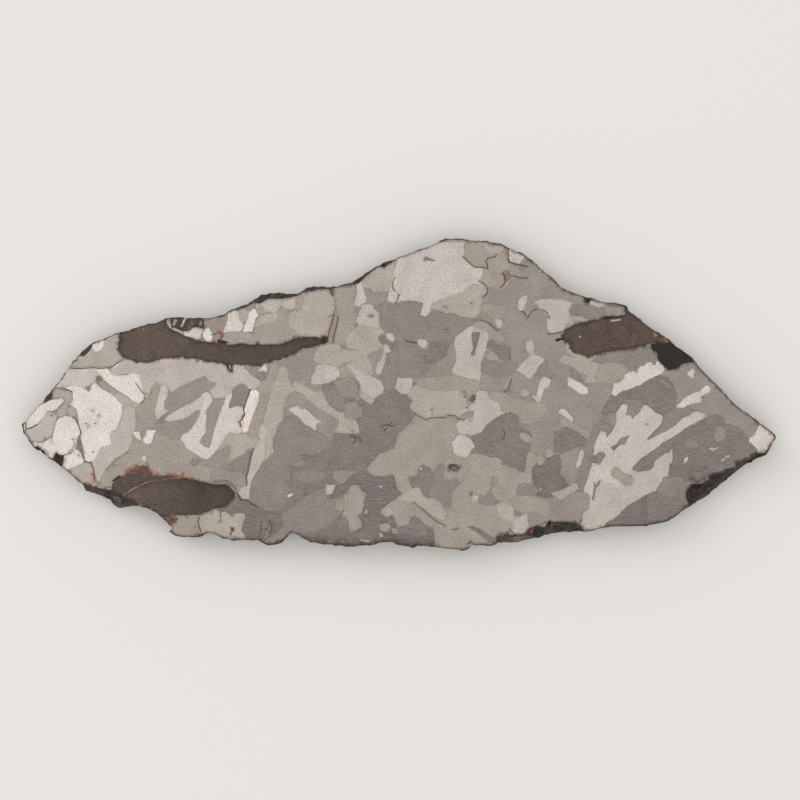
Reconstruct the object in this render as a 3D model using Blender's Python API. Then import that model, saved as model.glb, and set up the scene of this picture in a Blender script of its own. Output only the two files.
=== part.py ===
# Iron meteorite slice: one sawn, polished and etched plate of nickel-iron, with the natural rind left on its
# rim. It lies on its back cut with the etched face up. X runs along the slice and Z through its thickness.
# The origin is on the resting plane, under the middle of the outline.

import bpy
import bmesh
from mathutils import Vector
from mathutils import noise
from mathutils.geometry import delaunay_2d_cdt
from mathutils.kdtree import KDTree

# Driving dimensions, in metres
MM = 0.001
THICKNESS = 8.0 * MM
FACE_INSET = 0.3 * MM        # the sawn face stops this far inside the outline where no rind shows
SHOULDER = 5.6 * MM          # height at which the rim is widest
SHOULDER_LUMPS = 0.9 * MM
RIND_DROP = 0.7 * MM         # step from the sawn face down to the rind beside it
POCKET_DEPTH = 0.35 * MM     # the sulphide nodules were etched lower than the iron
POCKET_SLOPE = 0.6 * MM

# Below the shoulder, the height of each ring of the rim and how far it lies inside the outline
RIM_RINGS = ((3.6 * MM, 0.35 * MM), (1.6 * MM, 0.7 * MM), (0.0, 1.3 * MM))
RIM_LUMPS = 0.3 * MM
LUMP_SIZE = 5.0 * MM
LUMP_LEVEL = 0.5             # mean height of the lumps, as a share of the highest
LUMP_SWING = 0.6             # how far they rise and fall about it

# Spacing of the mesh's points
OUTLINE_STEP = 2.2 * MM
NODULE_STEP = 2.5 * MM
RIND_GRID = 2.0 * MM
FACE_SMOOTHING_ROUNDS = 1
RIM_SMOOTHING_ROUNDS = 4

# Tolerance for taking two points as one
MERGE = 0.01 * MM

# Outline at the shoulder, clockwise from the left tip, in millimetres
OUTLINE = (
    (-100.3, -7.9), (-97.7, -5.9), (-95.9, -3.4), (-93.3, 0.0), (-91.1, 2.3), (-88.4, 5.7), (-86.1, 9.1),
    (-84.1, 11.6), (-82.0, 13.1), (-78.4, 14.8), (-74.8, 16.2), (-71.1, 17.3), (-66.9, 18.8), (-64.6, 18.9),
    (-61.2, 20.3), (-57.1, 20.5), (-51.9, 20.2), (-48.6, 20.7), (-46.5, 21.1), (-44.2, 22.6), (-41.2, 23.7),
    (-38.6, 25.0), (-36.4, 26.5), (-33.4, 27.2), (-29.5, 26.7), (-26.5, 26.9), (-24.2, 28.2), (-22.6, 28.7),
    (-20.6, 28.5), (-16.2, 28.9), (-12.6, 29.6), (-9.0, 31.8), (-5.9, 34.0), (-3.4, 35.2), (0.3, 36.5),
    (3.8, 37.8), (7.4, 39.0), (10.3, 40.4), (12.8, 41.5), (16.4, 41.2), (21.3, 41.0), (24.6, 40.4),
    (27.2, 40.2), (29.7, 39.0), (31.2, 38.0), (33.1, 37.7), (35.6, 35.8), (38.5, 33.1), (41.1, 31.1),
    (43.0, 28.5), (44.2, 27.8), (47.2, 27.0), (50.8, 25.7), (53.9, 24.7), (57.7, 24.2), (60.7, 23.6),
    (61.2, 22.5), (62.5, 21.1), (64.9, 19.8), (66.2, 18.4), (67.7, 17.6), (69.3, 16.2), (72.4, 14.6),
    (74.2, 12.3), (75.6, 11.8), (77.6, 10.4), (79.9, 7.6), (83.3, 4.1), (86.4, 0.8), (89.4, -2.4),
    (92.8, -5.1), (97.6, -8.6), (100.2, -10.5), (100.6, -11.5), (99.2, -13.5), (97.9, -15.9), (95.1, -17.5),
    (93.0, -18.6), (90.7, -20.1), (87.6, -22.8), (84.3, -25.2), (82.4, -26.9), (79.4, -28.7), (77.3, -30.2),
    (72.2, -33.6), (68.4, -34.8), (62.2, -35.0), (54.0, -35.5), (50.4, -36.5), (44.3, -36.8), (40.2, -37.3),
    (36.3, -38.4), (32.4, -39.3), (26.5, -39.3), (26.2, -39.9), (24.7, -40.3), (19.5, -39.9), (19.0, -41.1),
    (17.7, -41.6), (13.9, -41.3), (9.8, -40.6), (7.3, -40.3), (5.7, -40.2), (4.2, -40.8), (0.1, -40.1),
    (-1.5, -39.0), (-4.6, -39.4), (-7.2, -40.4), (-11.8, -40.4), (-19.5, -39.9), (-23.6, -39.4), (-26.2, -37.5),
    (-28.1, -36.4), (-29.4, -37.9), (-31.0, -39.7), (-34.9, -40.1), (-37.2, -38.6), (-41.7, -38.9),
    (-46.3, -38.5), (-49.6, -36.6), (-52.9, -37.9), (-59.1, -37.9), (-61.0, -36.7), (-59.6, -35.3),
    (-61.7, -34.1), (-63.7, -31.5), (-66.7, -30.2), (-68.9, -29.7), (-72.3, -30.0), (-74.0, -30.5),
    (-75.7, -29.5), (-76.4, -28.3), (-80.8, -26.5), (-82.8, -25.8), (-84.2, -23.9), (-87.9, -20.4),
    (-91.9, -17.5), (-96.7, -14.1), (-99.4, -10.2),
)

# Patches where the face stops short of the outline and the rind shows, each drawn out past the outline
RIND_PATCHES = (
    # left shoulder
    ((-95.6, -3.6), (-94.8, -2.7), (-92.8, -1.9), (-91.5, -1.2), (-91.7, 0.5), (-90.7, 2.0), (-88.9, 4.4),
     (-90.5, 6.0), (-98.0, -1.0)),
    # notch and patch on the upper left
    ((-87.2, 9.8), (-86.2, 8.6), (-85.1, 8.9), (-84.9, 10.2), (-83.0, 10.2), (-81.7, 11.5), (-80.9, 11.5),
     (-81.1, 12.5), (-80.9, 13.4), (-79.9, 15.5), (-84.0, 14.0)),
    # ledge along the top left
    ((-50.4, 20.1), (-46.5, 20.8), (-43.5, 22.4), (-40.6, 22.9), (-38.1, 24.3), (-36.3, 24.1), (-34.2, 25.4),
     (-30.6, 25.4), (-27.0, 26.0), (-24.7, 27.2), (-21.6, 27.7), (-17.5, 28.1), (-14.4, 28.9), (-10.4, 29.4),
     (-7.9, 31.7), (-5.8, 33.4), (-4.8, 34.3), (-3.6, 33.6), (-2.4, 34.5), (-0.1, 36.1), (2.0, 36.9),
     (3.0, 39.0), (-6.0, 36.0), (-12.0, 32.0), (-24.0, 30.5), (-36.0, 28.5), (-44.0, 25.0), (-50.0, 22.5)),
    # notches in the top edge
    ((27.6, 41.0), (28.3, 39.0), (29.3, 38.6), (30.4, 38.9), (30.6, 40.5)),
    ((48.6, 28.0), (49.4, 25.6), (49.7, 24.3), (50.8, 24.1), (51.2, 25.1), (51.6, 27.0)),
    # broad slope on the lower right
    ((101.5, -13.0), (99.0, -12.9), (98.6, -13.9), (98.1, -15.6), (95.5, -15.5), (95.2, -14.4), (94.4, -15.7),
     (93.4, -17.0), (91.2, -17.8), (89.8, -18.4), (89.6, -19.4), (87.0, -19.9), (86.3, -20.6), (83.2, -21.1),
     (82.6, -21.7), (82.4, -22.6), (80.5, -23.7), (78.0, -23.8), (76.9, -25.0), (76.4, -26.1), (76.5, -27.6),
     (77.2, -29.4), (75.2, -31.0), (73.8, -32.6), (75.5, -34.5), (86.0, -27.0), (100.0, -18.0)),
    # chipped slope on the lower middle right
    ((50.2, -38.0), (49.3, -36.0), (48.7, -35.0), (48.8, -34.0), (47.0, -34.2), (44.0, -33.8), (40.9, -33.8),
     (40.4, -33.4), (39.4, -34.5), (38.9, -35.2), (37.0, -34.8), (34.5, -35.8), (33.9, -36.8), (32.7, -37.2),
     (31.2, -37.1), (30.3, -36.0), (29.7, -37.4), (28.2, -37.0), (26.7, -37.6), (26.2, -38.6), (26.0, -41.5),
     (36.0, -40.0), (44.0, -39.0)),
    # ledge under the lower left nodule
    ((-66.0, -32.0), (-67.3, -29.9), (-69.1, -28.9), (-70.6, -27.9), (-72.7, -27.4), (-75.0, -26.9),
     (-75.6, -25.5), (-78.6, -25.0), (-82.0, -24.2), (-85.0, -23.0), (-86.6, -21.2), (-88.6, -19.6),
     (-90.0, -21.0), (-84.0, -27.5), (-77.0, -30.5), (-74.0, -32.0)),
    # notches near the left tip
    ((-90.5, -15.3), (-89.8, -15.9), (-88.4, -16.2), (-88.8, -19.0), (-90.5, -20.0), (-93.0, -18.0),
     (-91.4, -17.0)),
    ((-96.9, -15.0), (-95.7, -13.7), (-94.2, -14.7), (-93.5, -15.2), (-93.9, -15.9), (-95.2, -16.8)),
)

# Sulphide nodules and the patch of crust, all etched a little lower than the iron
NODULES = (
    # long nodule on the upper left
    ((-73.4, 17.2), (-74.2, 13.0), (-73.1, 10.1), (-70.0, 8.9), (-65.0, 8.7), (-60.5, 9.6), (-57.0, 9.9),
     (-51.2, 8.9), (-43.5, 8.0), (-36.5, 7.5), (-32.8, 9.2), (-25.0, 12.3), (-18.7, 13.8), (-19.2, 15.3),
     (-24.0, 15.1), (-31.5, 13.3), (-36.0, 13.2), (-46.0, 13.9), (-53.5, 14.3), (-60.2, 17.3), (-61.2, 20.8),
     (-67.0, 19.5)),
    # fish-shaped nodule on the lower left
    ((-72.7, -27.4), (-70.4, -25.2), (-66.5, -23.4), (-60.6, -22.4), (-54.5, -22.6), (-49.4, -23.8),
     (-45.8, -23.7), (-43.3, -26.4), (-44.5, -28.7), (-48.1, -30.2), (-52.4, -31.9), (-58.6, -32.0),
     (-63.0, -32.8), (-67.3, -29.7)),
    # broken nodule at the upper right edge, with the dark crust below it
    ((43.5, 15.3), (46.0, 18.0), (51.5, 19.6), (56.5, 20.8), (60.2, 21.3), (60.6, 23.0), (63.0, 22.0),
     (70.0, 17.0), (73.2, 14.8), (79.0, 10.2), (78.0, 8.6), (75.3, 8.1), (74.6, 6.9), (71.0, 6.7),
     (69.9, 8.3), (68.8, 10.3), (67.1, 12.0), (66.4, 13.4), (62.0, 12.3), (54.5, 11.2), (50.3, 9.7),
     (46.5, 11.3)),
)


def metres(points):
    """A closed loop given in millimetres, as vectors in metres in clockwise order."""
    loop = [Vector(point) * MM for point in points]
    turning = sum(start.cross(end) for start, end in zip(loop, loop[1:] + loop[:1]))
    return loop[::-1] if turning > 0 else loop


def spaced(loop, step):
    """The closed loop with points added so that no side is longer than the step."""
    result = []
    for start, end in zip(loop, loop[1:] + loop[:1]):
        parts = max(1, round((end - start).length / step))
        result += [start.lerp(end, i / parts) for i in range(parts)]
    return result


def smoothed(loop, rounds):
    """The closed loop with each point drawn towards its neighbours, so that corners turn gently."""
    for _ in range(rounds):
        around = zip(loop[-1:] + loop[:-1], loop, loop[1:] + loop[:1])
        loop = [(before + 2 * point + after) / 4 for before, point, after in around]
    return loop


def inset(loop, distance):
    """A clockwise loop moved inwards by the distance."""
    result = []
    for before, point, after in zip(loop[-1:] + loop[:-1], loop, loop[1:] + loop[:1]):
        along = (after - before).normalized()
        result.append(point + Vector((along.y, -along.x)) * distance)
    return result


def lump(point, seed):
    """A smooth bump height between 0 and 1 at a point of the rim, the same on every run."""
    place = Vector((point.x / LUMP_SIZE, point.y / LUMP_SIZE, seed))
    return min(1.0, max(0.0, LUMP_LEVEL + LUMP_SWING * noise.noise(place)))


def tree_of(points):
    """A search tree of flat points."""
    tree = KDTree(len(points))
    for i, point in enumerate(points):
        tree.insert((point.x, point.y, 0.0), i)
    tree.balance()
    return tree


def distance(tree, point):
    """Distance from a flat point to the nearest point of a tree."""
    return tree.find((point.x, point.y, 0.0))[2]


def grid_in_patches():
    """Points on an even grid over the rind patches, which give the rind its lumps."""
    points = []
    for patch in RIND_PATCHES:
        xs = [x * MM for x, _ in patch]
        ys = [y * MM for _, y in patch]
        for column in range(int(min(xs) / RIND_GRID) - 1, int(max(xs) / RIND_GRID) + 2):
            for row in range(int(min(ys) / RIND_GRID) - 1, int(max(ys) / RIND_GRID) + 2):
                points.append(Vector((column * RIND_GRID, row * RIND_GRID)))
    return points


def plan_of_face():
    """The outline, face, rind and nodules as one flat mesh: points, triangles and each triangle's regions."""
    outline = spaced(metres(OUTLINE), OUTLINE_STEP)
    face = inset(smoothed(outline, FACE_SMOOTHING_ROUNDS), FACE_INSET)
    loops = [("outline", outline), ("face", face)]
    loops += [("rind", spaced(metres(patch), OUTLINE_STEP)) for patch in RIND_PATCHES]
    for nodule in NODULES:
        edge = spaced(metres(nodule), NODULE_STEP)
        loops += [("nodule", edge), ("pocket", inset(edge, POCKET_SLOPE))]
    points = []
    sides = []
    for _, loop in loops:
        sides.append(list(reversed(range(len(points), len(points) + len(loop)))))
        points += loop
    points += grid_in_patches()
    points, _, triangles, _, _, inside = delaunay_2d_cdt(points, [], sides, 0, MERGE, True)
    names = [{loops[i][0] for i in found} for found in inside]
    kept = [(triangle, region) for triangle, region in zip(triangles, names) if "outline" in region]
    return points, [triangle for triangle, _ in kept], [region for _, region in kept]


def heights(points, triangles, regions):
    """Height of each flat point: the face is level, pockets are lower and the rind slopes to the shoulder."""
    face = set()
    floor = set()
    for triangle, region in zip(triangles, regions):
        if "face" in region and "rind" not in region:
            face.update(triangle)
            if "pocket" in region:
                floor.update(triangle)
    face_tree = tree_of([points[i] for i in sorted(face)])
    edge_tree = tree_of(spaced(metres(OUTLINE), OUTLINE_STEP))
    result = {}
    for i in {i for triangle in triangles for i in triangle}:
        if i in face:
            result[i] = THICKNESS - (POCKET_DEPTH if i in floor else 0.0)
            continue
        from_face = distance(face_tree, points[i])
        share = from_face / (from_face + distance(edge_tree, points[i]))
        slope = (THICKNESS - RIND_DROP) * (1 - share) + SHOULDER * share
        result[i] = slope - SHOULDER_LUMPS * lump(points[i], 0.0)
    return result


def rim_loop(mesh):
    """The points of the mesh's open edge, in order, clockwise from above."""
    edge = next(edge for edge in mesh.edges if edge.is_boundary)
    start = edge.link_loops[0].vert
    ring = [start]
    while True:
        edge = next(e for e in ring[-1].link_edges if e.is_boundary and e.link_loops[0].vert != ring[-1])
        if edge.other_vert(ring[-1]) == start:
            return ring
        ring.append(edge.other_vert(ring[-1]))


def add_rim_and_back(mesh):
    """The rough rim, ring by ring down to the resting plane, and the flat back cut."""
    ring = rim_loop(mesh)
    outline = [Vector(vertex.co.xy) for vertex in ring]
    soft = smoothed(outline, RIM_SMOOTHING_ROUNDS)
    for level, (height, distance_in) in enumerate(RIM_RINGS):
        lower = []
        for point, moved in zip(outline, inset(soft, distance_in)):
            pulled = point.lerp(moved, (level + 1) / len(RIM_RINGS))
            pulled += (moved - point).normalized() * RIM_LUMPS * lump(point, level + 1.0)
            lower.append(mesh.verts.new((*pulled, height)))
        for i, vertex in enumerate(ring):
            mesh.faces.new((ring[i - 1], vertex, lower[i], lower[i - 1]))
        ring = lower
    mesh.faces.new(ring)


def build_slice():
    """The whole slice as one closed mesh."""
    points, triangles, regions = plan_of_face()
    height = heights(points, triangles, regions)
    mesh = bmesh.new()
    vertices = {i: mesh.verts.new((*points[i], height[i])) for i in sorted(height)}
    for triangle in triangles:
        mesh.faces.new([vertices[i] for i in triangle])
    mesh.normal_update()
    add_rim_and_back(mesh)
    bmesh.ops.recalc_face_normals(mesh, faces=mesh.faces)
    data = bpy.data.meshes.new("slice")
    mesh.to_mesh(data)
    mesh.free()
    return data


def etched_iron():
    """Warm grey etched nickel-iron."""
    material = bpy.data.materials.new("etched_iron")
    material.use_nodes = True
    shader = material.node_tree.nodes["Principled BSDF"]
    shader.inputs["Base Color"].default_value = (0.42, 0.38, 0.35, 1.0)
    shader.inputs["Metallic"].default_value = 1.0
    shader.inputs["Roughness"].default_value = 0.42
    return material


for old in list(bpy.data.objects):
    bpy.data.objects.remove(old)

slice_object = bpy.data.objects.new("slice", build_slice())
slice_object.data.materials.append(etched_iron())
bpy.context.scene.collection.objects.link(slice_object)
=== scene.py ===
# Iron meteorite slice, lying on its back cut with the etched face up. Seen from straight above, right is +X
# and up is +Y. The crystals, the nodules and the cracks are drawn on the face in millimetres.

import math
import bmesh
import bpy
import numpy as np
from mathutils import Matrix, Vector
from mathutils import noise
from mathutils.geometry import delaunay_2d_cdt
from mathutils.kdtree import KDTree


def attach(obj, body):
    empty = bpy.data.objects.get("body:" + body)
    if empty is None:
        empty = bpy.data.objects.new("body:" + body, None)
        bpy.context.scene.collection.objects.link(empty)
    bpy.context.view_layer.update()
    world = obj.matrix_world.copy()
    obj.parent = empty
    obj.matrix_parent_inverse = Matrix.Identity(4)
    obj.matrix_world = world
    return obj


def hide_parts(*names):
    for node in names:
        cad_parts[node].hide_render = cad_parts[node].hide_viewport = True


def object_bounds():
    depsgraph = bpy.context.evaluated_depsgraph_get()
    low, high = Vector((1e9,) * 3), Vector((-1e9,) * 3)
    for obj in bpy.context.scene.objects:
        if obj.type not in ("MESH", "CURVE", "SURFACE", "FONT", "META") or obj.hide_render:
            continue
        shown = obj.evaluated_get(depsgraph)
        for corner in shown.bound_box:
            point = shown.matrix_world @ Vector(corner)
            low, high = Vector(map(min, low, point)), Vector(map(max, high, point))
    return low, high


MM = 0.001
THICKNESS = 8.0

# Mesh of the piece, in millimetres
FACE_LEVEL = 7.6          # every face of the part above this height belongs to the etched face
BACK_LEVEL = 0.01         # and every one below this height to the back cut
LEVEL_REACH = 1.0         # the open edges of each lie this close to its height
WELD = 0.01               # the part's points closer than this become one
RIND_STEP = 0.6           # longest side on the rim, after this many cuts
RIND_CUTS = 3
BORDER_STEP = 0.4         # spacing along the crystals' borders
LINE_STEP = 0.3           # along the cracks and the shades
RUST_STEP = 0.2           # along the rusty lines
RING_STEP = 0.1           # along closed lines that distances are measured from
FINE_STEP = 0.05          # and along cracks that distances are measured from
FILL_STEP = 1.0           # spacing of the points between the borders
BACK_STEP = 1.6           # and of the points on the back
UNEVEN_SIZE = 0.37
UNEVEN_SHARE = 0.35       # these points leave their grid by this share of the spacing
CLEAR_OF_BORDER = 0.4
EDGE_MARGIN = 0.35        # borders stop this far inside the face's edge
WOBBLE_SIZE = 1.1         # crystals' borders waver over this length, by this much
WOBBLE = 0.13
WOBBLE_SEEDS = (3.3, 17.7)
NODULE_STEP = 0.25        # the same for the ragged borders of nodules, pockets and crust
NODULE_WOBBLE_SIZE = 0.6
NODULE_WOBBLE = 0.3
PIT_SIDES = 8
PIT_RINGS = (0.4, 1.0)    # rings round each pit, as shares of its radius
MERGE = 0.0005            # and the sheets' points closer than this
SHARP_ANGLE = 35.0

# Relief, in millimetres
POCKET_DEPTH = 0.35
POCKET_SLOPE = 0.45
POCKET_LUMPS = 0.16
POCKET_LUMP_SIZE = 1.6
POCKET_LUMP_SEED = 2.0
CRACK_DEPTH = 0.16
PIT_RADIUS = 0.3
RIND_SMOOTHING = 0.3
RIND_ROUGHNESS = 0.55
RIND_WEAR = 0.1           # the whole rind is worn back by this share of its roughness
RIND_LUMPS = ((3.6, 0.0, 0.7), (1.5, 5.0, 0.5), (0.7, 9.0, 0.3))     # size, seed and share of each

# Marks and where they reach, in millimetres
EDGE_REACH = 0.36         # the dark edge of a nodule reaches this far to both sides
PAINTED_RIM_SHADE_REACH = 0.55     # and the painted shade along the face's edge this far inwards
PAINTED_RIM_SHADE_SHARE = 0.6
# painted shade along the lower edge, at this share
PAINTED_LOWER_EDGE_SHADE_SHARE = 0.9
MARK_LEVEL = 7.0          # cracks, dark nodule edges and painted edge shade are painted above this height
RUST_LEVELS = (5.0, 7.0)  # rust fades in between these heights
RUST_EDGE = 1.2           # share of rust at a spot's middle, which is one less at its radius
RIND_PATCH_LEVEL = 3.5    # the rind's patches are painted above this height

# Kinds of surface, and the masks that tell the material of them and of the marks
METAL, SULPHIDE, CRUST, SAWN, RIND = range(5)
MASKED_KINDS = (SULPHIDE, CRUST, RIND, SAWN)
KIND_NAMES = ("sulphide", "crust", "rind", "back")
# the edge mark holds the dark edges of the nodules and painted shade along the face's edge
MARK_NAMES = ("crack", "rust", "meets", "edge")

# Direction of the etch lines as a share of half a turn
PLAIN_TONES = ("bright", "white", "light", "cream", "pale")
TURN_SEED = 5
FLAT_TURN = 0.12          # etch lines of the darker crystals lie nearly level
PLAIN_TURN = 0.1
BACK_TURN = 0.3
GROUND_TONE = "mid"       # tone of the metal between the drawn crystals

# How far the etch lines, clouds and grain change the tone
STREAK_STRENGTH = 0.30
DARK_STREAK_STRENGTH = 0.85
SULPHIDE_STREAKS = -0.7
CLOUD_STRENGTH = 0.42
GRAIN_STRENGTH = 0.92
RIND_COARSENESS = 6.0     # against 1 for sulphide and crust
COARSE_CLOUDS = 0.45
COARSE_GRAIN = 0.4
SEAM_STRENGTH = -0.24
ETCH_STRETCH = (0.5, 2.4, 1.0)
SAW_STRETCH = (0.02, 1.6, 0.0)
BACK_CELL_SCALE = 0.08

# Scale per millimetre and detail of each noise
ETCH_NOISE = (1.0, 2.0)
CLOUD_NOISE = (0.22, 4.0)
GRAIN_NOISE = (2.0, 3.0)
RUST_NOISE = (1.3, 4.0)
HEART_NOISE = (1.3, 3.0)
CHIP_NOISE = (0.8, 6.0)
EDGE_NOISE = (0.5, 3.0)
SAW_NOISE = (1.0, 2.0)

# Gain and offset that turn a value into a mask or a change of tone
DARK_RAMP = (-12.0, 3.0)
RUST_RAMP = (2.6, -1.55)
HEART_RAMP = (5.0, -2.5)
CHIP_RAMP = (5.0, -2.5)
EDGE_RAMP = (3.0, -0.75)
SAW_RAMP = (0.5, -0.25)
BACK_CELL_RAMP = (0.14, -0.07)
RUST_GAIN = 1.4
RUST_FADE = 3.0
SEAM_POWER = 3.0
EDGE_POWER = 1.3
CRACK_POWER = 0.6

# Bare metal, and how far sulphide, crust, rind and rust dull it
METALLIC = 0.8
DULL_METALLIC = -0.7
ROUGHNESS = 0.42
DULL_ROUGHNESS = 0.3
LINE_ROUGHNESS = 0.08
STONE_DULLNESS = 0.6
METAL_BUMP = 0.012
COARSE_BUMP = 0.045

# Tones of the crystals, red, green and blue out of 255
TONES = {
    "bright": (219, 211, 205),
    "white": (206, 198, 191),
    "light": (196, 187, 180),
    "cream": (186, 177, 169),
    "pale": (174, 165, 156),
    "beige": (162, 152, 143),
    "mid": (151, 142, 134),
    "grey": (141, 132, 126),
    "dark": (131, 122, 117),
    "slate": (124, 115, 112),
    "rusty": (140, 123, 109),
    "stain": (112, 96, 84),
    "oxide": (88, 76, 71),
    "ash": (99, 89, 81),
    "umber": (70, 60, 53),
    "black": (38, 32, 29),
}
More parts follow.
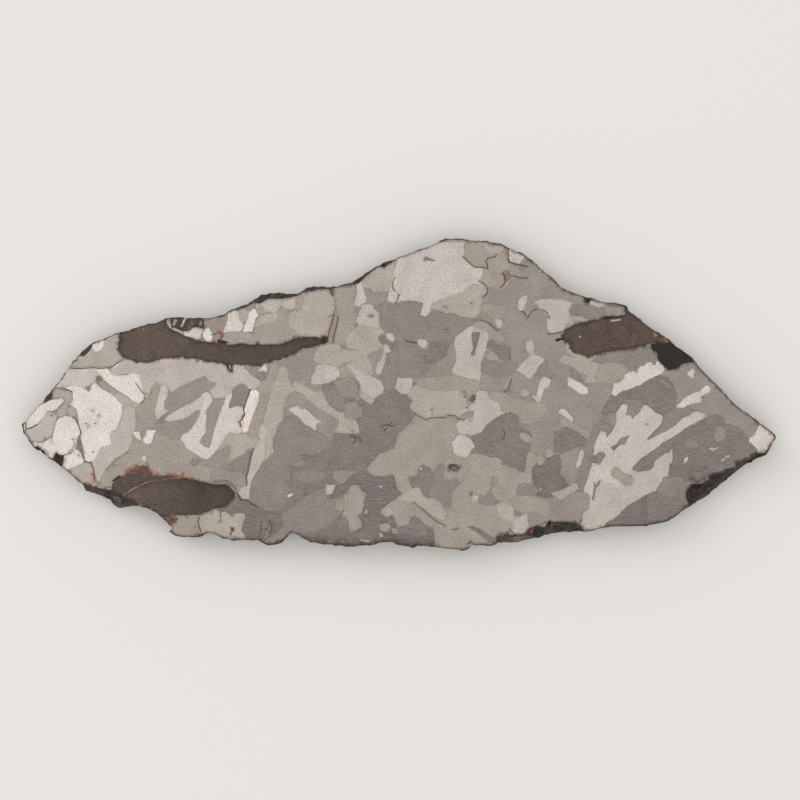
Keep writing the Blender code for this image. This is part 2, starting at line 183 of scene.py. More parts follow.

# Crystals of the etched face: the tone, then the outline as x,y in millimetres. Later ones lie over earlier.
# Crystals near the bottom edge have darker tones, and those at the left lighter ones, partly painted shade
# and painted light
GRAINS = """
light 0,23.5 1.5,24 3,25.2 3.5,26.5 4.5,27 5.5,27.2 6.5,26.3 7,25.2 6.8,24 6.3,22.5 6,21.2 7,20.7 8,21
  8.5,21.8 9.3,22.6 10.5,22.3 12,22 12.8,21.3 14,21.7 15.3,21.5 16,20.9 18,20.4 20,20.3 21.3,21 22,22
  22,23.2 22.4,24.5 22.5,26 23.5,27 24,28 23.5,29 22.5,29.8 21.5,30.2 22,31 22.5,32
pale 8.5,21.8 9.3,22.6 10.5,22.3 12,22 12.8,21.3 14,21.7 15.3,21.5 16,20.9 18,20.4 20,20.3 21.3,21 22,22
  22,23.2 22.4,24.5 22.5,26 23.5,27 24,28 23.5,29 22.5,29.8 21.5,29 19,29.3 15,27 10,26.5 9,24
grey 0,23.5 1.5,24 3,25.2 3.5,26.5 4.5,27 5.5,27.2 6.5,26.3 7,25.2 6.6,23.5 6,21 6.5,20 3.5,20 0,20.5
grey 0,20.5 3.5,20 6,20.2 8.3,21 9.3,22.4 11,22.2 12.7,21.3 15.5,21.3 16.5,20.5 19,20.2 20.5,20 21.5,20.5
  23,20.3 22,19.3 20,18.6 18,17.3 16.5,16 15.5,15 15,13.5 13.8,13.3 13.5,14 8.5,13.8 8,14 6.5,14.8 5.2,14.5
  5,13.6 3.5,13.9 2,14.2 0,14.5
cream 5.2,14.3 6,14.8 7.2,14.5 8,13.8 7.8,13 7.2,12 6.2,12.4 5.3,13.3
dark 8.3,13.7 10,13.8 12,13.5 13.8,13.8 13.8,12.5 13.2,11.5 13.1,10.5 11.5,9.2 10,8.2 9,8 8.3,8.5 8,7.5 7,7
  6.5,8 6,9.5 7,10.5 8,11 8.4,12
grey 0,14 2.5,13.8 5,13.5 6.2,12.3 7.2,12 8.2,11.5 7,10.3 6.8,9 7.5,8.2 8.5,8.3 8.3,6.8 7.5,5.5 6,5.2 4,4.6
  3,5 0,5
mid 13.2,12 14.5,13 15,13.5 15.5,12 15.4,9 15.3,7.5 14.3,6.2 13.5,6.8 13,8
cream 15,13.5 15.3,15 16.3,16 17.7,17 19,18 20.2,18.4 21,17.5 22,17.2 23.5,16.5 24.2,15.7 24,14.2 23.5,12.8
  23.2,11 22.7,10 22.3,9 22,8 22,6 22,4.5 21.8,3.5 20,4 18,4.3 16.5,4.8 15,5.2 14.3,6 14.7,7.2 15.5,8.5
  15.5,10.5 15.2,12
dark 19.8,16.5 21.8,16.5 21.6,15 21.2,13.5 20.7,12 20.3,10.2 19.5,10.2 19.4,10.8 20,12 19.8,14 19.5,15.5
beige 20,18.6 22,19.4 24,18.8 25.5,17.5 26.5,16.8 27.5,16.5 28.3,15 28.5,13.8 27,13.5 25.5,14.5 24.5,14
  24.2,15.8 23,16.8 21,17.6 19.7,18.2
dark 24,14 25,14.5 25.8,13.4 27.5,12.9 30,12.5 30,9 28,9 27,9.6 26,10.8 25.3,11.5 24,12.5 23.5,12.5
grey 22.5,9.5 23,9.8 23.8,9 25,9 27,8.2 29,8.6 30,8.4 31.5,8.2 31.8,7 30.5,5.8 29,4.8 27,4.3 25,4.8 23.8,5.4
  22.5,6 22,6.5 22,8
beige 22.8,10.2 24.5,11.5 26,10.5 27,9.5 28,9 27,8.5 25,9.1 24,9.2 23,9.8
beige 22.2,24 26,23.7 28.8,23.3 28.6,22 28,20.8 27.8,20 26.5,20 25,20.3 24,21 23,21.8 22.2,22
cream 25.5,20 26.5,20 27.5,19.6 27.8,18.5 27.4,17.6 26.5,17.6 26,18.6
light 32,25 33,26 34.5,26.5 34.2,25 33.7,23.5 33,22 32.3,22 31.8,23
mid 34.5,26.5 37.7,26 37.8,25 37.3,23 36.5,22.3 35.5,21.5 34.5,20.8 34,21.3 33.3,22 33.8,23.5 34.3,25.2
cream 34.2,14 35.5,14.3 36.3,13 36,11.5 36.4,10.5 38.7,9.5 38.5,8.5 37.5,8 37,6.8 36,5.5 35.2,4.2 34.8,5
  33.5,6 32,6.2 31.3,6.4 32.3,7.5 33.5,8.8 35,10 34.5,11 33.8,12.3
slate 30,5.2 30.3,4 29.8,2 29.7,1 28.3,0.5 28,1 28.8,2.5 29.3,4
cream 0,4.3 3,4.2 4,4 3.8,2.8 3.5,1.5 2.8,0.5 2,0 0.8,0.2 0,1
grey 4,3.2 5.5,2.8 5,2 4,1.2 3.6,1.6 3.9,2.5
dark 0,0.8 -2,0.8 -4,0 -5,-0.5 -6,-1.3 -6.8,-2.8 -8,-2 -9.5,-1.5 -10.5,-1.6 -10,-3 -9.5,-4 -9.6,-6
  -10.8,-6.5 -11,-7.3 -10.2,-9 -10.3,-10.5 -12,-10.4 -16,-10.3 -17,-10.5 -17,-12.5 -18,-14 -17.5,-15.5
  -18,-18 -18,-20 -7,-20 -6.5,-18 -6,-17 -4.5,-15.6 -1.5,-15 -0.8,-13.5 0,-12
grey -30,-6 -28,-5.5 -26,-7 -23,-9 -21,-10 -19.5,-10.8 -17.5,-13 -18,-15 -18,-20 -36,-20 -34.5,-17
  -33.8,-15.8 -33,-15 -33,-12 -32.2,-10 -31.5,-8 -30.5,-7
pale -31.5,7 -30.5,7.4 -29.3,6.9 -28.9,5.8 -29.1,4.5 -28.5,3.5 -28.1,2 -28.3,0.5 -29.3,-0.5 -29.8,-2.5
  -30.2,-4 -30.4,-6 -30.7,-7 -31.8,-8 -32.2,-9.8 -33,-11.5 -33.2,-14 -32.7,-15.4 -33.7,-15.8 -34.6,-17.5
  -35.2,-18.2 -36.3,-19 -37,-20 -39.2,-20 -38.8,-18 -38.5,-16 -37.8,-14 -36.5,-12 -37.2,-10.7 -36.8,-9
  -36.3,-8 -35.5,-6.5 -35,-4.5 -34.4,-2 -33.8,0.5 -33.2,3 -32.2,4 -31.8,6
cream -39.2,-20 -38.7,-17 -37.9,-14 -36.4,-12 -37.2,-10.6 -36.8,-8.9 -36.2,-8 -34.8,-8.2 -34.9,-10 -35.2,-12
  -35.2,-14 -36,-16.5 -37,-19 -37.2,-20
mid -29.5,9.8 -28,10.8 -26,11.6 -24.5,12.5 -22,12.6 -20.8,12 -21.5,10.7 -22.3,9.5 -22,8.2 -21,8 -21.5,7
  -22,5.5 -22.8,4 -23,2.8 -21.5,2.3 -20.5,2 -21,1 -22.3,1.2 -24,2.2 -26,3.3 -27.6,4.2 -28.9,5.5 -29,6.5
  -30,7.4 -31.5,7.2 -33,8.5 -32,9
pale -28.4,0.8 -27.8,2.8 -27.2,3.7 -26,3 -24.5,2 -23,1.2 -22,0.6 -21,0.9 -20,1.2 -19.6,0 -19,-1.5 -18.3,-2.8
  -17,-3.8 -16,-4.6 -14,-4.8 -14.3,-6 -13.5,-6.5 -11.5,-6.8 -11,-7.2 -10.3,-8.7 -10.2,-10.3 -12,-10.4
  -14,-10.3 -16.3,-10.2 -17,-9.6 -16,-8.5 -15.6,-7.2 -16,-6.6 -17,-6 -18.5,-5.2 -20.5,-4 -22,-2.8 -24,-1.3
  -25.5,-0.3 -27,0.8
mid -29.5,-0.5 -28.3,0.3 -26.5,0.8 -25,0 -24,-1.5 -22,-3.2 -20,-4.5 -18,-5.3 -16.3,-6.4 -15.8,-7.3
  -16.3,-8.2 -17.5,-8.8 -19,-8.8 -20.5,-7.8 -21,-7 -22.5,-6 -23.8,-4.5 -24.5,-4 -26,-3.5 -27,-3 -28.5,-3.8
  -29,-4.3 -30.3,-4.5
light -28.9,-4 -27.8,-3.4 -26.5,-3 -25.8,-3.9 -24.5,-3.9 -23.5,-4.6 -22.3,-5.8 -21.3,-6.7 -20.3,-6.9
  -20.2,-7.3 -21,-7.6 -21.7,-8.2 -21.6,-9.3 -22.3,-9.4 -23.3,-8.5 -24.8,-7.8 -25.5,-6.8 -26.5,-5.8 -27.8,-5
beige -22.4,9.5 -21,10.5 -20.5,11.5 -19,12.5 -17.5,13.5 -15.5,13 -14.5,12 -13.5,11.5 -12,11 -10,11.2
  -8.5,10.8 -8,9.5 -7.5,8.5 -7,7.8 -6,7 -5,5.5 -6,4.2 -10,6.3 -14,8 -16,8 -18,7.5 -20,7.5 -21.5,8
cream -23,2.8 -22.8,4.5 -22.2,5.5 -21.7,7 -20.8,7.7 -20,7.2 -19,6.5 -18,7.5 -16.5,7.5 -16,6.5 -15.5,5.3
  -16,4.4 -17.2,3.8 -18,3.2 -20,2.8 -21.5,2.6
pale -13.8,13 -14,14.5 -13.3,16 -12,17 -11,17.5 -10.5,18.5 -11,19.5 -10.5,20.5 -5,20.5 -4.8,18.5 -4.3,17.3
  -3.2,16.4 -4.8,15.6 -5,14.5 -4.5,13.5 -3.8,13 -3.5,12 -5,12 -6.5,11 -8,10.5 -9.5,11.3 -11,12 -13,12
mid -8.8,27.3 -7.5,26.8 -6,27 -4,27.4 -2.5,27 -1.5,26 -0.6,24.5 0.3,23.8 3.5,21 3.5,20 0,20.5 0,17 -1,16.3
  -2.5,16.5 -4.2,17.2 -4.8,19 -5,20.5 -4.7,21.5 -5.2,22.5 -6,23 -7,24 -8.3,24.5 -8.2,26
grey 0,11 -1.5,11 -3,11 -3.2,9 -3.8,7.5 -4.5,5.2 -4.8,4.6 -4,3.8 -3.5,3 -4,1.5 -3.8,0.3 -2,0.8 0,1 0,3
dark -5,15.5 -4,15.8 -3,15 -2,14 -0.8,14 0,14 0,11.5 -1.5,11.5 -2,12.2 -2.6,13.3 -3.8,13.2 -4.8,13.8
  -5.2,14.6
mid -8,10.5 -6.5,11.3 -5,12 -3.8,12 -4,10.5 -4.8,9.2 -5.8,8 -6.6,7.4 -6.9,8.3 -7.5,9.5
cream -3.6,13.2 -2.5,13 -2,12 -1.8,11.2 -3,11 -3.3,10 -3.2,8.8 -4,7 -4.5,5.2 -5.5,5.3 -5.9,6.5 -5.5,8 -4.7,9
  -4,10.5 -3.7,12
pale -13.8,8 -12,7.8 -10,6.5 -8,5.3 -6,4.2 -4.5,3.8 -4,2 -3.8,0.5 -5,-0.3 -6,-1.2 -7,-2.7 -8.3,-2 -9.5,-1
  -10.2,-0.3 -10.2,1 -9.8,2 -10,3 -11,4 -12,5 -13.5,6.5
beige -16,8 -14,7.8 -13.5,6.5 -12.2,5 -12,4.5 -13,4.5 -15.5,4.2 -16,4.3 -15.5,5.5 -16,7
dark -19.7,2.5 -17.5,3 -16.5,4 -14.5,4.3 -12.5,4.5 -11.3,4 -10.8,3 -9.9,2 -10.2,0.5 -10.8,-0.5 -11.5,-1.5
  -10.3,-2 -10,-3.5 -9.5,-4.5 -9.8,-6 -11,-6.3 -12.5,-5.8 -14,-5.5 -13.8,-4.5 -15,-4.7 -16.5,-4 -18,-2.8
  -19,-1.3 -19.6,0.5 -20.2,1.5
grey -19.7,2.4 -17.3,2.6 -16,1.5 -15,0.2 -14,-1 -13.8,-3 -14.3,-4.6 -15.7,-4.2 -17.3,-3.3 -18.8,-1.5
  -19.6,0.2
mid -13.8,-2.5 -12.5,-2 -11,-2 -10,-3.5 -9.5,-4.5 -9.8,-6 -11,-6.3 -13,-6.2 -14.2,-5.3 -14,-4
white -37.3,5.4 -36.8,6.6 -35.8,7.4 -35,8.1 -34.7,7 -34.6,6 -35.5,6.1 -36.5,6
mid -39,8 -37,7.6 -36.9,6.5 -37.3,5.5 -38.5,5 -40,5.8 -40,8
grey -37,6 -35.3,6.2 -35,5 -35.2,3.8 -36.5,3.5 -38,4.8
beige -40,5.8 -38.8,5.2 -37.5,4.2 -36.3,3.2 -37,2 -37.3,1.3 -38.5,1.5 -40,2.5
beige -36,3.5 -35,4 -34,6 -33.5,8 -32,8.5 -31.7,6 -32.5,4 -33.4,2 -34,0 -34.8,-3 -35.5,-6 -36.5,-8.5
  -37,-11.7 -38.5,-11.5 -39.7,-11 -39.8,-9 -38.5,-6 -37.3,-3.5 -36.5,0 -37.3,1.5 -36.5,3
beige -38,13.3 -35,13.2 -31,13.3 -30,13.8 -27,14.7 -25,15.2 -22,15.2 -20.3,15.3 -19.7,15.8 -18.3,15.8 -18,18
  -17.2,20 -16.9,22 -16.8,24 -16.6,27 -16.3,28.5 -16.5,30 -39,30 -38.5,25 -37.5,22 -37,20 -38.3,16
pale -28.7,21.5 -27.5,22 -25.5,22.5 -24.8,25 -25.2,26.3 -24,27.3 -22,27.8 -19.5,27.8 -18.5,27 -17,25.5
  -16.8,23 -17.3,21.5 -18,19.5 -18.3,17.5 -19.5,16 -22,15.4 -25,15.5 -27,16 -27.5,17 -28.3,17.5 -29,19
  -29.1,20.5
cream -30.8,25.2 -28,25.6 -27.2,26 -27,24.5 -27.3,22.8 -28.5,22.5 -30,22.8 -31,23.8 -30.6,24.5
cream -37.7,25 -36.3,24.3 -34.5,25.3 -31,25.4 -30.8,24 -31.3,23 -32,22 -33,21.5 -34.3,22 -35.5,21.5 -35.5,23
  -36.5,23.5 -37.5,22.5
pale -38,19 -36.5,20.5 -35,21.2 -33.5,21.3 -32.3,22 -31.5,21 -31.8,19.8 -33,18.8 -36,18.5 -37.8,17.5
beige -16.4,30 -12.5,30 -11.5,28.5 -10.8,28 -11.3,26 -11.5,24.5 -11.5,23 -11,22 -10.5,21.5 -11,20 -11.2,19
  -11.5,17.3 -13,16 -14,14.5 -14.3,13 -15.5,13 -17.5,13.6 -17,16 -16.3,18.5 -15.5,20.8 -16,22 -16.5,24
light -11,28.9 -10.3,29.6 -9.5,30.5 -9,27.8 -8.6,26.5 -8.2,25.5 -8.5,24.4 -9.5,23.8 -10.5,23.2 -11.5,23.5
  -11.2,25.5 -10.7,27.5
pale -9.9,31 -8,33 -5,36 -3,36.5 -1,36.5 -0.7,33 -0.4,32 -1,31 -1.6,29.5 -1.4,28.3 -1,27.8 -1.5,26.5
  -2.5,27.1 -4,27.4 -6,27.1 -6.5,27 -7.3,28 -8.5,28.3 -9.3,28.5
cream -8.3,24 -7,24 -6,23 -5.2,22.3 -4.6,21.5 -5.2,20 -4.8,18.5 -5.5,17.5 -8,18 -10,18.5 -11.2,19.3
  -10.5,20.5 -10.2,22 -9.5,22.8 -10,23.5
grey -8.2,20.8 -7,21.3 -6,21 -6.5,20.3 -7.5,20.3
light -3,24 0,36.5 5,38.5 10,40.3 14.4,41.4 17.6,41 17.7,40.2 17.4,38.9 17.8,37.8 17.3,36.6 17.9,35.8
  19,34.8 20.3,33.7 21.3,33.6 22.6,33.5 22.6,32 22.1,30.7 21.5,30 20,29.3 17,27 8,24 3,25
mid 23.9,33.4 24,30 22.5,30 22.6,33.6
beige 22.6,33.6 23.9,33.4 24,36 26,37.3 27.8,37.8 29.3,36.3 29.5,35 32,34.4 34.4,34 37,34.2 35,32 31,31
  29,28.5 27,27.5 24,28.3 23,29.3 21.5,30 22.6,32
beige 17.6,41 19.5,41.2 22.8,40.7 23,39 23.8,37.8 25.6,37.4 26.2,36.8 25.7,36.3 23.6,36.1 23.4,35 23.9,34
  23.9,33.4 22.5,33.7 21.3,33.6 20.3,33.7 19,34.8 17.9,35.8 17.3,36.6 17.8,37.8 17.4,38.9 17.7,40.2
pale 22.8,40.7 27.2,40.2 28.5,39.1 28.4,38.5 27.8,37.8 26,37.3 23.8,37.8 23,39
light 29.7,38.9 30.5,38.4 33.6,37.6 35.4,36.1 37,34.3 34.4,34 32.1,34.5 30,35 29.4,36 29.5,37.6
rusty 27.2,32 28.2,32.7 29.7,33 30,31.2 29.2,30 28.5,30 28.2,31.2
grey 6.7,35.8 7.4,36.6 8.5,36.1 10,35.5 9.7,35.2 7.9,35.4 6.9,35.2
light -91.2,2.3 -89.5,4 -88.4,5.5 -87.4,7 -83.5,6.8 -81.5,7 -79.3,6.9 -78.7,5.3 -80,3.6 -81.4,2.5 -81.8,0.8
  -83,1.9 -85,2 -87.3,2.2 -89,2 -90.5,1.8
pale -87.6,7 -85.5,6.8 -83.5,6.8 -81.5,7 -79.3,6.9 -77.3,7 -75.5,7.4 -74,8.5 -72.7,9.3 -73.5,10.2 -74.5,11.5
  -74.2,13 -74,14.5 -73.6,16.4 -75,16.2 -77,15.6 -80.5,14 -83.5,12.5 -86.5,9.5
pale -83,10.3 -81.7,11.5 -80.5,11.3 -79,11.6 -77.8,13 -76,13.6 -75.2,12 -75.6,10 -77,8.6 -80,8.2 -84,8.6
bright -81,13 -80.5,13.7 -79.2,14 -78.2,14.4 -77.8,13.7 -77.8,13 -78.7,11.9 -79.7,11.3 -80.5,11.4 -81,12.5
bright -99,-6.4 -96.8,-3.9 -94.8,-2.1 -92.8,-1.5 -91.5,-1.5 -88.9,-0.9 -88.4,-1.8 -89.5,-2.8 -90.3,-3.8
  -91.5,-4.4 -92.8,-4.4 -94,-6.2 -95.5,-7.8 -97.5,-8.7 -98.4,-9
cream -95.5,-8.2 -94,-6.3 -92.8,-4.6 -91,-5 -90.3,-5.8 -90.8,-7.5 -91.3,-9.5 -91.5,-10.5 -92,-11.2
  -93.5,-11.7 -94.5,-12.5 -96,-12.5 -97.5,-12 -98.7,-11 -98.7,-9.5 -97,-9
bright -95.3,-12.8 -94,-12.9 -92.8,-12 -91.8,-11.5 -91.4,-13.5 -90.6,-15.2 -90.6,-16.3 -91.8,-16.9 -93,-16.3
  -93.5,-15.2 -94.3,-14.6 -95,-13.8
bright -96.8,-13.4 -96.2,-12.6 -95.5,-12.8 -95.2,-13.4 -96,-14 -96.5,-13.9
bright -100.3,-7.6 -99,-6.6 -98.6,-6.3 -98.4,-8 -98.5,-8.7 -100,-8.6
pale -100,-8.8 -98.6,-8.8 -98.7,-10.2 -99.5,-10.3
pale -90.5,1.5 -89.7,1.8 -87.5,1.2 -86.3,0.6 -86,-0.5 -86.5,-2 -87,-2.8 -87.6,-3.5 -87.4,-4.8 -88.3,-5.6
  -89.5,-5.9 -90.5,-5.6 -90,-4 -89,-3 -88.2,-2 -88.5,-0.8 -89.5,-0.7 -91.2,-1 -91.3,0.3
bright -91,-9 -90.6,-7.5 -89.8,-6.3 -88.2,-5.7 -86.8,-5.8 -85.5,-6.7 -84.6,-8.2 -84.1,-9.7 -84.3,-10.8
  -85,-11.8 -85.2,-13 -85.7,-14.5 -87.2,-15.6 -88.5,-16 -90.5,-15.5 -91.4,-13.5 -91.5,-11.5
bright -80.3,3.2 -78.5,1.5 -77,0.7 -75.5,-0.2 -73.8,-1.5 -73,-2.8 -73,-4.6 -73.5,-6.7 -74.5,-9.2 -75.9,-9.8
  -76.2,-11 -75.8,-13 -76.8,-13.7 -78.5,-14 -79.3,-15.2 -79.4,-16.5 -80.3,-17.6 -82.2,-18 -82.9,-17.5
  -83.2,-14.5 -84,-11.5 -83.8,-9.9 -84.4,-8 -84.8,-5.6 -85.2,-3.8 -86.8,-2.7 -86,-1.5 -86.2,0.8 -88.5,2
  -86.5,2.2 -83.5,1.9 -81.5,0.8 -81.2,2.3
pale -87.5,-3.8 -86.3,-3.2 -85.3,-4.2 -85,-5.5 -85.8,-6 -87.3,-5.7
grey -81.5,2.5 -81.8,0.7 -83,1.5 -82.2,2.2
rusty -84.6,-10.9 -84,-12.3 -83.4,-14.5 -83.6,-15.5 -84.4,-14.8 -85,-13 -85,-11.9
bright -80.2,6.8 -77,6.9 -76.4,6.3 -76,5.4 -75,5 -72,5 -70.5,5.6 -69.3,5.7 -68.5,4.8 -67.7,2.2 -67.2,0.2
  -67.4,-1.3 -68.6,-2.5 -70,-1.9 -71.5,-0.6 -73.8,0.8 -75.9,2.2 -77.9,3.9 -78.7,5 -79.6,6
beige -79.5,2.5 -78.3,4 -76.5,2.3 -73.5,0.6 -71,-1.2 -69.5,-2.2 -68.5,-2.8 -70.5,-3.2 -72,-3.2 -73,-2.7
  -75,-0.6 -77.5,1
pale -74,0.6 -71,-1.2 -69.5,-2.3 -68.3,-2.6 -69,-3.6 -71,-3.2 -72.3,-3.2 -72.9,-4.6 -73.1,-3 -74.2,-1.3
  -75.5,-0.3
rusty -79.6,5 -78.5,4.5 -78.2,3.8 -79,3.5 -80,3.5 -80,4.5
cream -79.2,-15 -78.5,-14.1 -76,-13.3 -75.9,-12 -76.1,-10.2 -75,-9.3 -73.8,-8.3 -73.2,-6.3 -72.9,-4.8
  -72.3,-3.3 -71,-3.2 -69.6,-3.7 -69.5,-6 -69.3,-8 -69.8,-9.8 -69.3,-11.7 -70.2,-13 -71.3,-14.6 -73,-16
  -75,-17.2 -76.3,-18.5 -77.5,-20 -78,-21.5 -79,-23 -79.7,-23 -80.2,-21 -80.6,-19.5 -81,-18.2
beige -77.8,-20.5 -76,-19.3 -74.5,-19.3 -73.8,-20 -74.2,-21.3 -75.6,-22.5 -75.8,-24 -76,-26.3 -77.5,-27.2
  -78.8,-24.3 -79,-22.8
pale -88,-20 -86,-19.4 -84.8,-18.8 -83,-18.2 -81.8,-18 -81.2,-18.8 -80.6,-20.3 -80.3,-22 -79.8,-23.5
  -78.8,-24.5 -80,-26.2 -84,-24.1 -86.5,-22
bright -88.4,-16.3 -86.5,-15.8 -85.5,-14.5 -84.5,-15 -83.7,-16 -83.2,-17.5 -83.5,-18.3 -85,-18.9 -86,-19.4
  -87.7,-19.8 -89,-19 -88.6,-17.5
beige -70,-10 -52,-10 -50,-22 -62,-22 -74,-23 -75,-18 -71,-15
beige -71,-17 -68.5,-15.8 -65.5,-14.6 -62,-13.9 -58.5,-14.8 -55.5,-15.8 -53,-17.2 -50.5,-18.5 -49.5,-20.5
  -50,-23 -62,-22 -74,-23 -75,-18
cream -76.4,6.5 -75.5,7.3 -74,8.3 -72.5,9.1 -70,8.9 -66,8.9 -63,9.3 -61.5,9.6 -62,7 -62.5,4 -64,3.3
  -65.3,1.5 -66.3,-1 -67.2,-0.5 -68,3 -68.6,5 -69.5,5.7 -71,5.4 -75.5,5 -76.2,5.8
cream -63,9.5 -60,9.9 -57,10.2 -53,9.6 -50,9 -47,8.6 -44,8.2 -41,8.2 -40.5,6.8 -39.5,6 -39,5.2 -37.5,4.3
  -36.3,3.3 -37.2,2 -38.2,1.3 -39.5,1.5 -41,2.9 -42.5,2.5 -43.5,1.3 -44.3,-1 -45.6,-0.8 -48.5,-1 -49.3,0
  -50,0.8 -48,2.5 -50,3.4 -51,5 -54,3.7 -58,1.9 -60,0.5 -60.8,1.5 -61,2.5 -63,2.5 -64,3.3 -62.5,5
beige -64,3.3 -62.8,2.6 -63.1,0.6 -64,-2.5 -64.4,-4 -64.1,-5.6 -63.7,-6.7 -64.5,-8.5 -66,-9.4 -68,-9.8
  -69.8,-9.8 -69.4,-7.6 -69.5,-5 -69.4,-3.5 -68.3,-2.7 -67.3,-2.3 -66.8,-1 -65.9,-1 -65.4,0.3 -64.7,2.6
light -62.8,2.4 -61.2,2.5 -60.8,1.3 -61,-0.5 -61.8,-2 -62,-3.5 -61.7,-3.9 -60.6,-4.1 -61.2,-4.8 -62.7,-5.8
  -63.7,-6.7 -64.1,-5.6 -64.4,-4 -64,-2.5 -63.1,0.6
mid -60.8,-0.1 -59.1,0.7 -57,2.4 -55,3.1 -53.2,4 -51,4.9 -50.6,4 -49.7,3.4 -48.1,3.1 -49.4,1.6 -50.4,0.6
  -51.7,0 -52.9,-0.9 -54.7,-2 -57,-3 -59.1,-3.9 -60.5,-4.3 -61.7,-3.8 -62,-3.2 -61.4,-1.5
white -52,0.2 -51.4,0.3 -50.6,0.6 -49.7,0.2 -49,-1 -49.4,-2.3 -50.3,-3.5 -50.9,-4.6 -50.6,-6.4 -50.9,-7.9
  -50.6,-10.2 -51.9,-11.2 -52.4,-12.8 -51.4,-13.8 -50,-14.3 -49.6,-13 -48.8,-9.7 -47.8,-6.6 -46.8,-3.8
  -46,-2 -45.5,-0.7 -44.7,0 -44,0.8 -43.9,-0.5 -44.7,-2.5 -44.7,-3.8 -44,-3.5 -42.9,-3 -41.2,-3.5 -40.6,-4.6
  -40.5,-5.6 -41.7,-7.1 -41.4,-8.7 -41.7,-10.5 -43.7,-10.1 -44.7,-10.2 -45.8,-11.5 -46.5,-12.8 -47.8,-14.6
  -49.4,-16.4 -50.4,-17.1 -51.9,-16.9 -52.9,-16.1 -54.7,-15.2 -56,-14.3 -56.7,-12.8 -57.7,-11.9 -57,-10.7
  -55.5,-9.9 -54.5,-8.9 -53.2,-6.6 -52.4,-5.1 -52.4,-4
light -61.2,-7.3 -61.7,-6.6 -61,-5.7 -59.6,-4.8 -57.3,-3.5 -54.7,-2.3 -52.9,-1.2 -51.4,0.3 -51.9,-3 -52.4,-4
  -53.7,-4.3 -55,-5.6 -57,-6.5 -59.6,-7.1
grey -63.8,-7.3 -62.5,-5.7 -61.7,-6.6 -61.9,-7.5 -63,-7.8
mid -52.4,-4.1 -52.7,-5.8 -53.7,-7.6 -54.7,-9.2 -56,-10 -57.3,-10.5 -57.8,-11.9 -59.6,-12 -61.7,-11
  -63.7,-10.2 -64.7,-9.2 -63.5,-8.2 -61.7,-7.5 -59.6,-7.3 -57,-6.6 -55,-5.7 -53.7,-4.6
mid -48.9,-1.1 -47,-1 -45.6,-0.9 -46,-2.3 -46.8,-4 -47.8,-6.9 -48.8,-10 -49.6,-13.3 -50,-14.2 -51.4,-13.7
  -52.4,-12.7 -51.9,-11.2 -50.8,-10.2 -50.9,-7.9 -50.6,-6.4 -50.8,-4.7 -50.1,-3.5 -49.3,-2.3
grey -43.9,1.1 -43,2.1 -41.7,2.9 -40.4,2.7 -39.6,1.6 -39.2,0.3 -39.9,-1.7 -40.5,-3.8 -41.7,-3.3 -43.5,-3.1
  -44.6,-3.7 -44.7,-2.3 -43.9,-0.7
bright -38.7,1.1 -37.6,1.3 -36.7,0.6 -36.8,-1.5 -37.6,-3.8 -38.6,-6.4 -39.5,-8.7 -39.9,-10.2 -41.4,-10.2
  -41.4,-8.7 -41.7,-7.1 -40.5,-5.6 -40.7,-3.8 -39.9,-1.7 -39.2,0.3
pale -44.7,-10.3 -43.7,-10.2 -41.5,-10.4 -39.9,-10.5 -39.1,-11.5 -37,-11.5 -36.8,-12.5 -38.1,-14.3
  -39.9,-14.6 -40.6,-15.8 -42.7,-16.6 -43.7,-17.6 -44.6,-17.6 -44.5,-16.1 -44.2,-14.6 -44.4,-13.5
  -45.5,-13.7 -46.8,-14.6 -47.8,-15.1 -46.8,-13.3 -45.8,-11.5
mid -44.4,-13.5 -44.2,-14.6 -44.5,-16.1 -44.6,-17.6 -44.2,-18.2 -45.5,-19.7 -49.4,-20 -52.4,-18.4
  -52.7,-17.1 -50.6,-17.3 -49.4,-16.5 -47.8,-15.2 -46.8,-14.6 -45.5,-13.7
grey -38.6,-14.6 -40,-15.5 -42,-17 -44.2,-18.2 -46.5,-19.5 -45,-20.5 -42,-20.5 -40.5,-21.5 -39.8,-19.5
  -39.2,-17
grey -55,-18.7 -54.5,-17.2 -53,-16.8 -52.3,-17.5 -53,-18.5 -54,-19
bright -70.2,-10 -68.5,-9.9 -68.3,-11 -68,-12.2 -68.5,-12.2 -69.4,-11.5
bright -66.7,-9.6 -65.5,-9.4 -64,-9.6 -64.7,-10.8 -65.1,-12.5 -65.6,-13.2 -67,-13.1 -67.7,-12.3 -67.3,-11.5
  -66.7,-10.5
bright -67.8,-16.5 -66.8,-16.3 -66.7,-17.2 -67.2,-17.7 -67.7,-17.3
beige -46.3,16.5 -43.5,16.6 -41,16.7 -39,16.3 -38.4,15.8 -38.1,14.9 -37.9,13.4 -40,13.2 -41.5,13.6
  -44.5,13.1 -45.5,13.8 -46.4,14.2 -46.6,15 -46.2,15.8
pale -42.7,22.3 -41,22.6 -39.5,22 -39.6,20.5 -40.2,19.4 -41,19 -41.8,20 -42.3,21.5
white -45,21.3 -44,22.3 -42.8,22.2 -42.3,21.5 -41.9,20 -41,19 -40.9,18.2 -41.2,17.2 -42,16.7 -44,16.6
  -46.3,16.5 -45.8,17.8 -45.2,19.5
bright -39.5,21.8 -38.3,22.6 -37.7,22.6 -37.4,21.6 -36.9,20.8 -37.6,20.1 -38,18.9 -38.3,17.5 -38.6,16.7
  -41,16.6 -40.7,18 -40.2,19.3 -39.6,20.4
bright -51.5,16.5 -50.9,17.3 -50.2,17.7 -49.6,16.8 -49,15.8 -49.3,14.7 -49.7,13.8 -50.5,14 -51.2,14.6
  -51.7,15.6
white -61.3,19 -60.8,19.9 -60.2,20 -60.2,18 -59.3,17.4 -58,17 -57.3,16.6 -55.5,16.7 -54.2,17.6 -53,18.1
  -52,17.6 -51.6,16.8 -52.2,15.5 -52.4,14.8 -54,14.8 -55.5,15.2 -57,15.9 -58.7,16.5 -60.2,17.2 -60.9,18
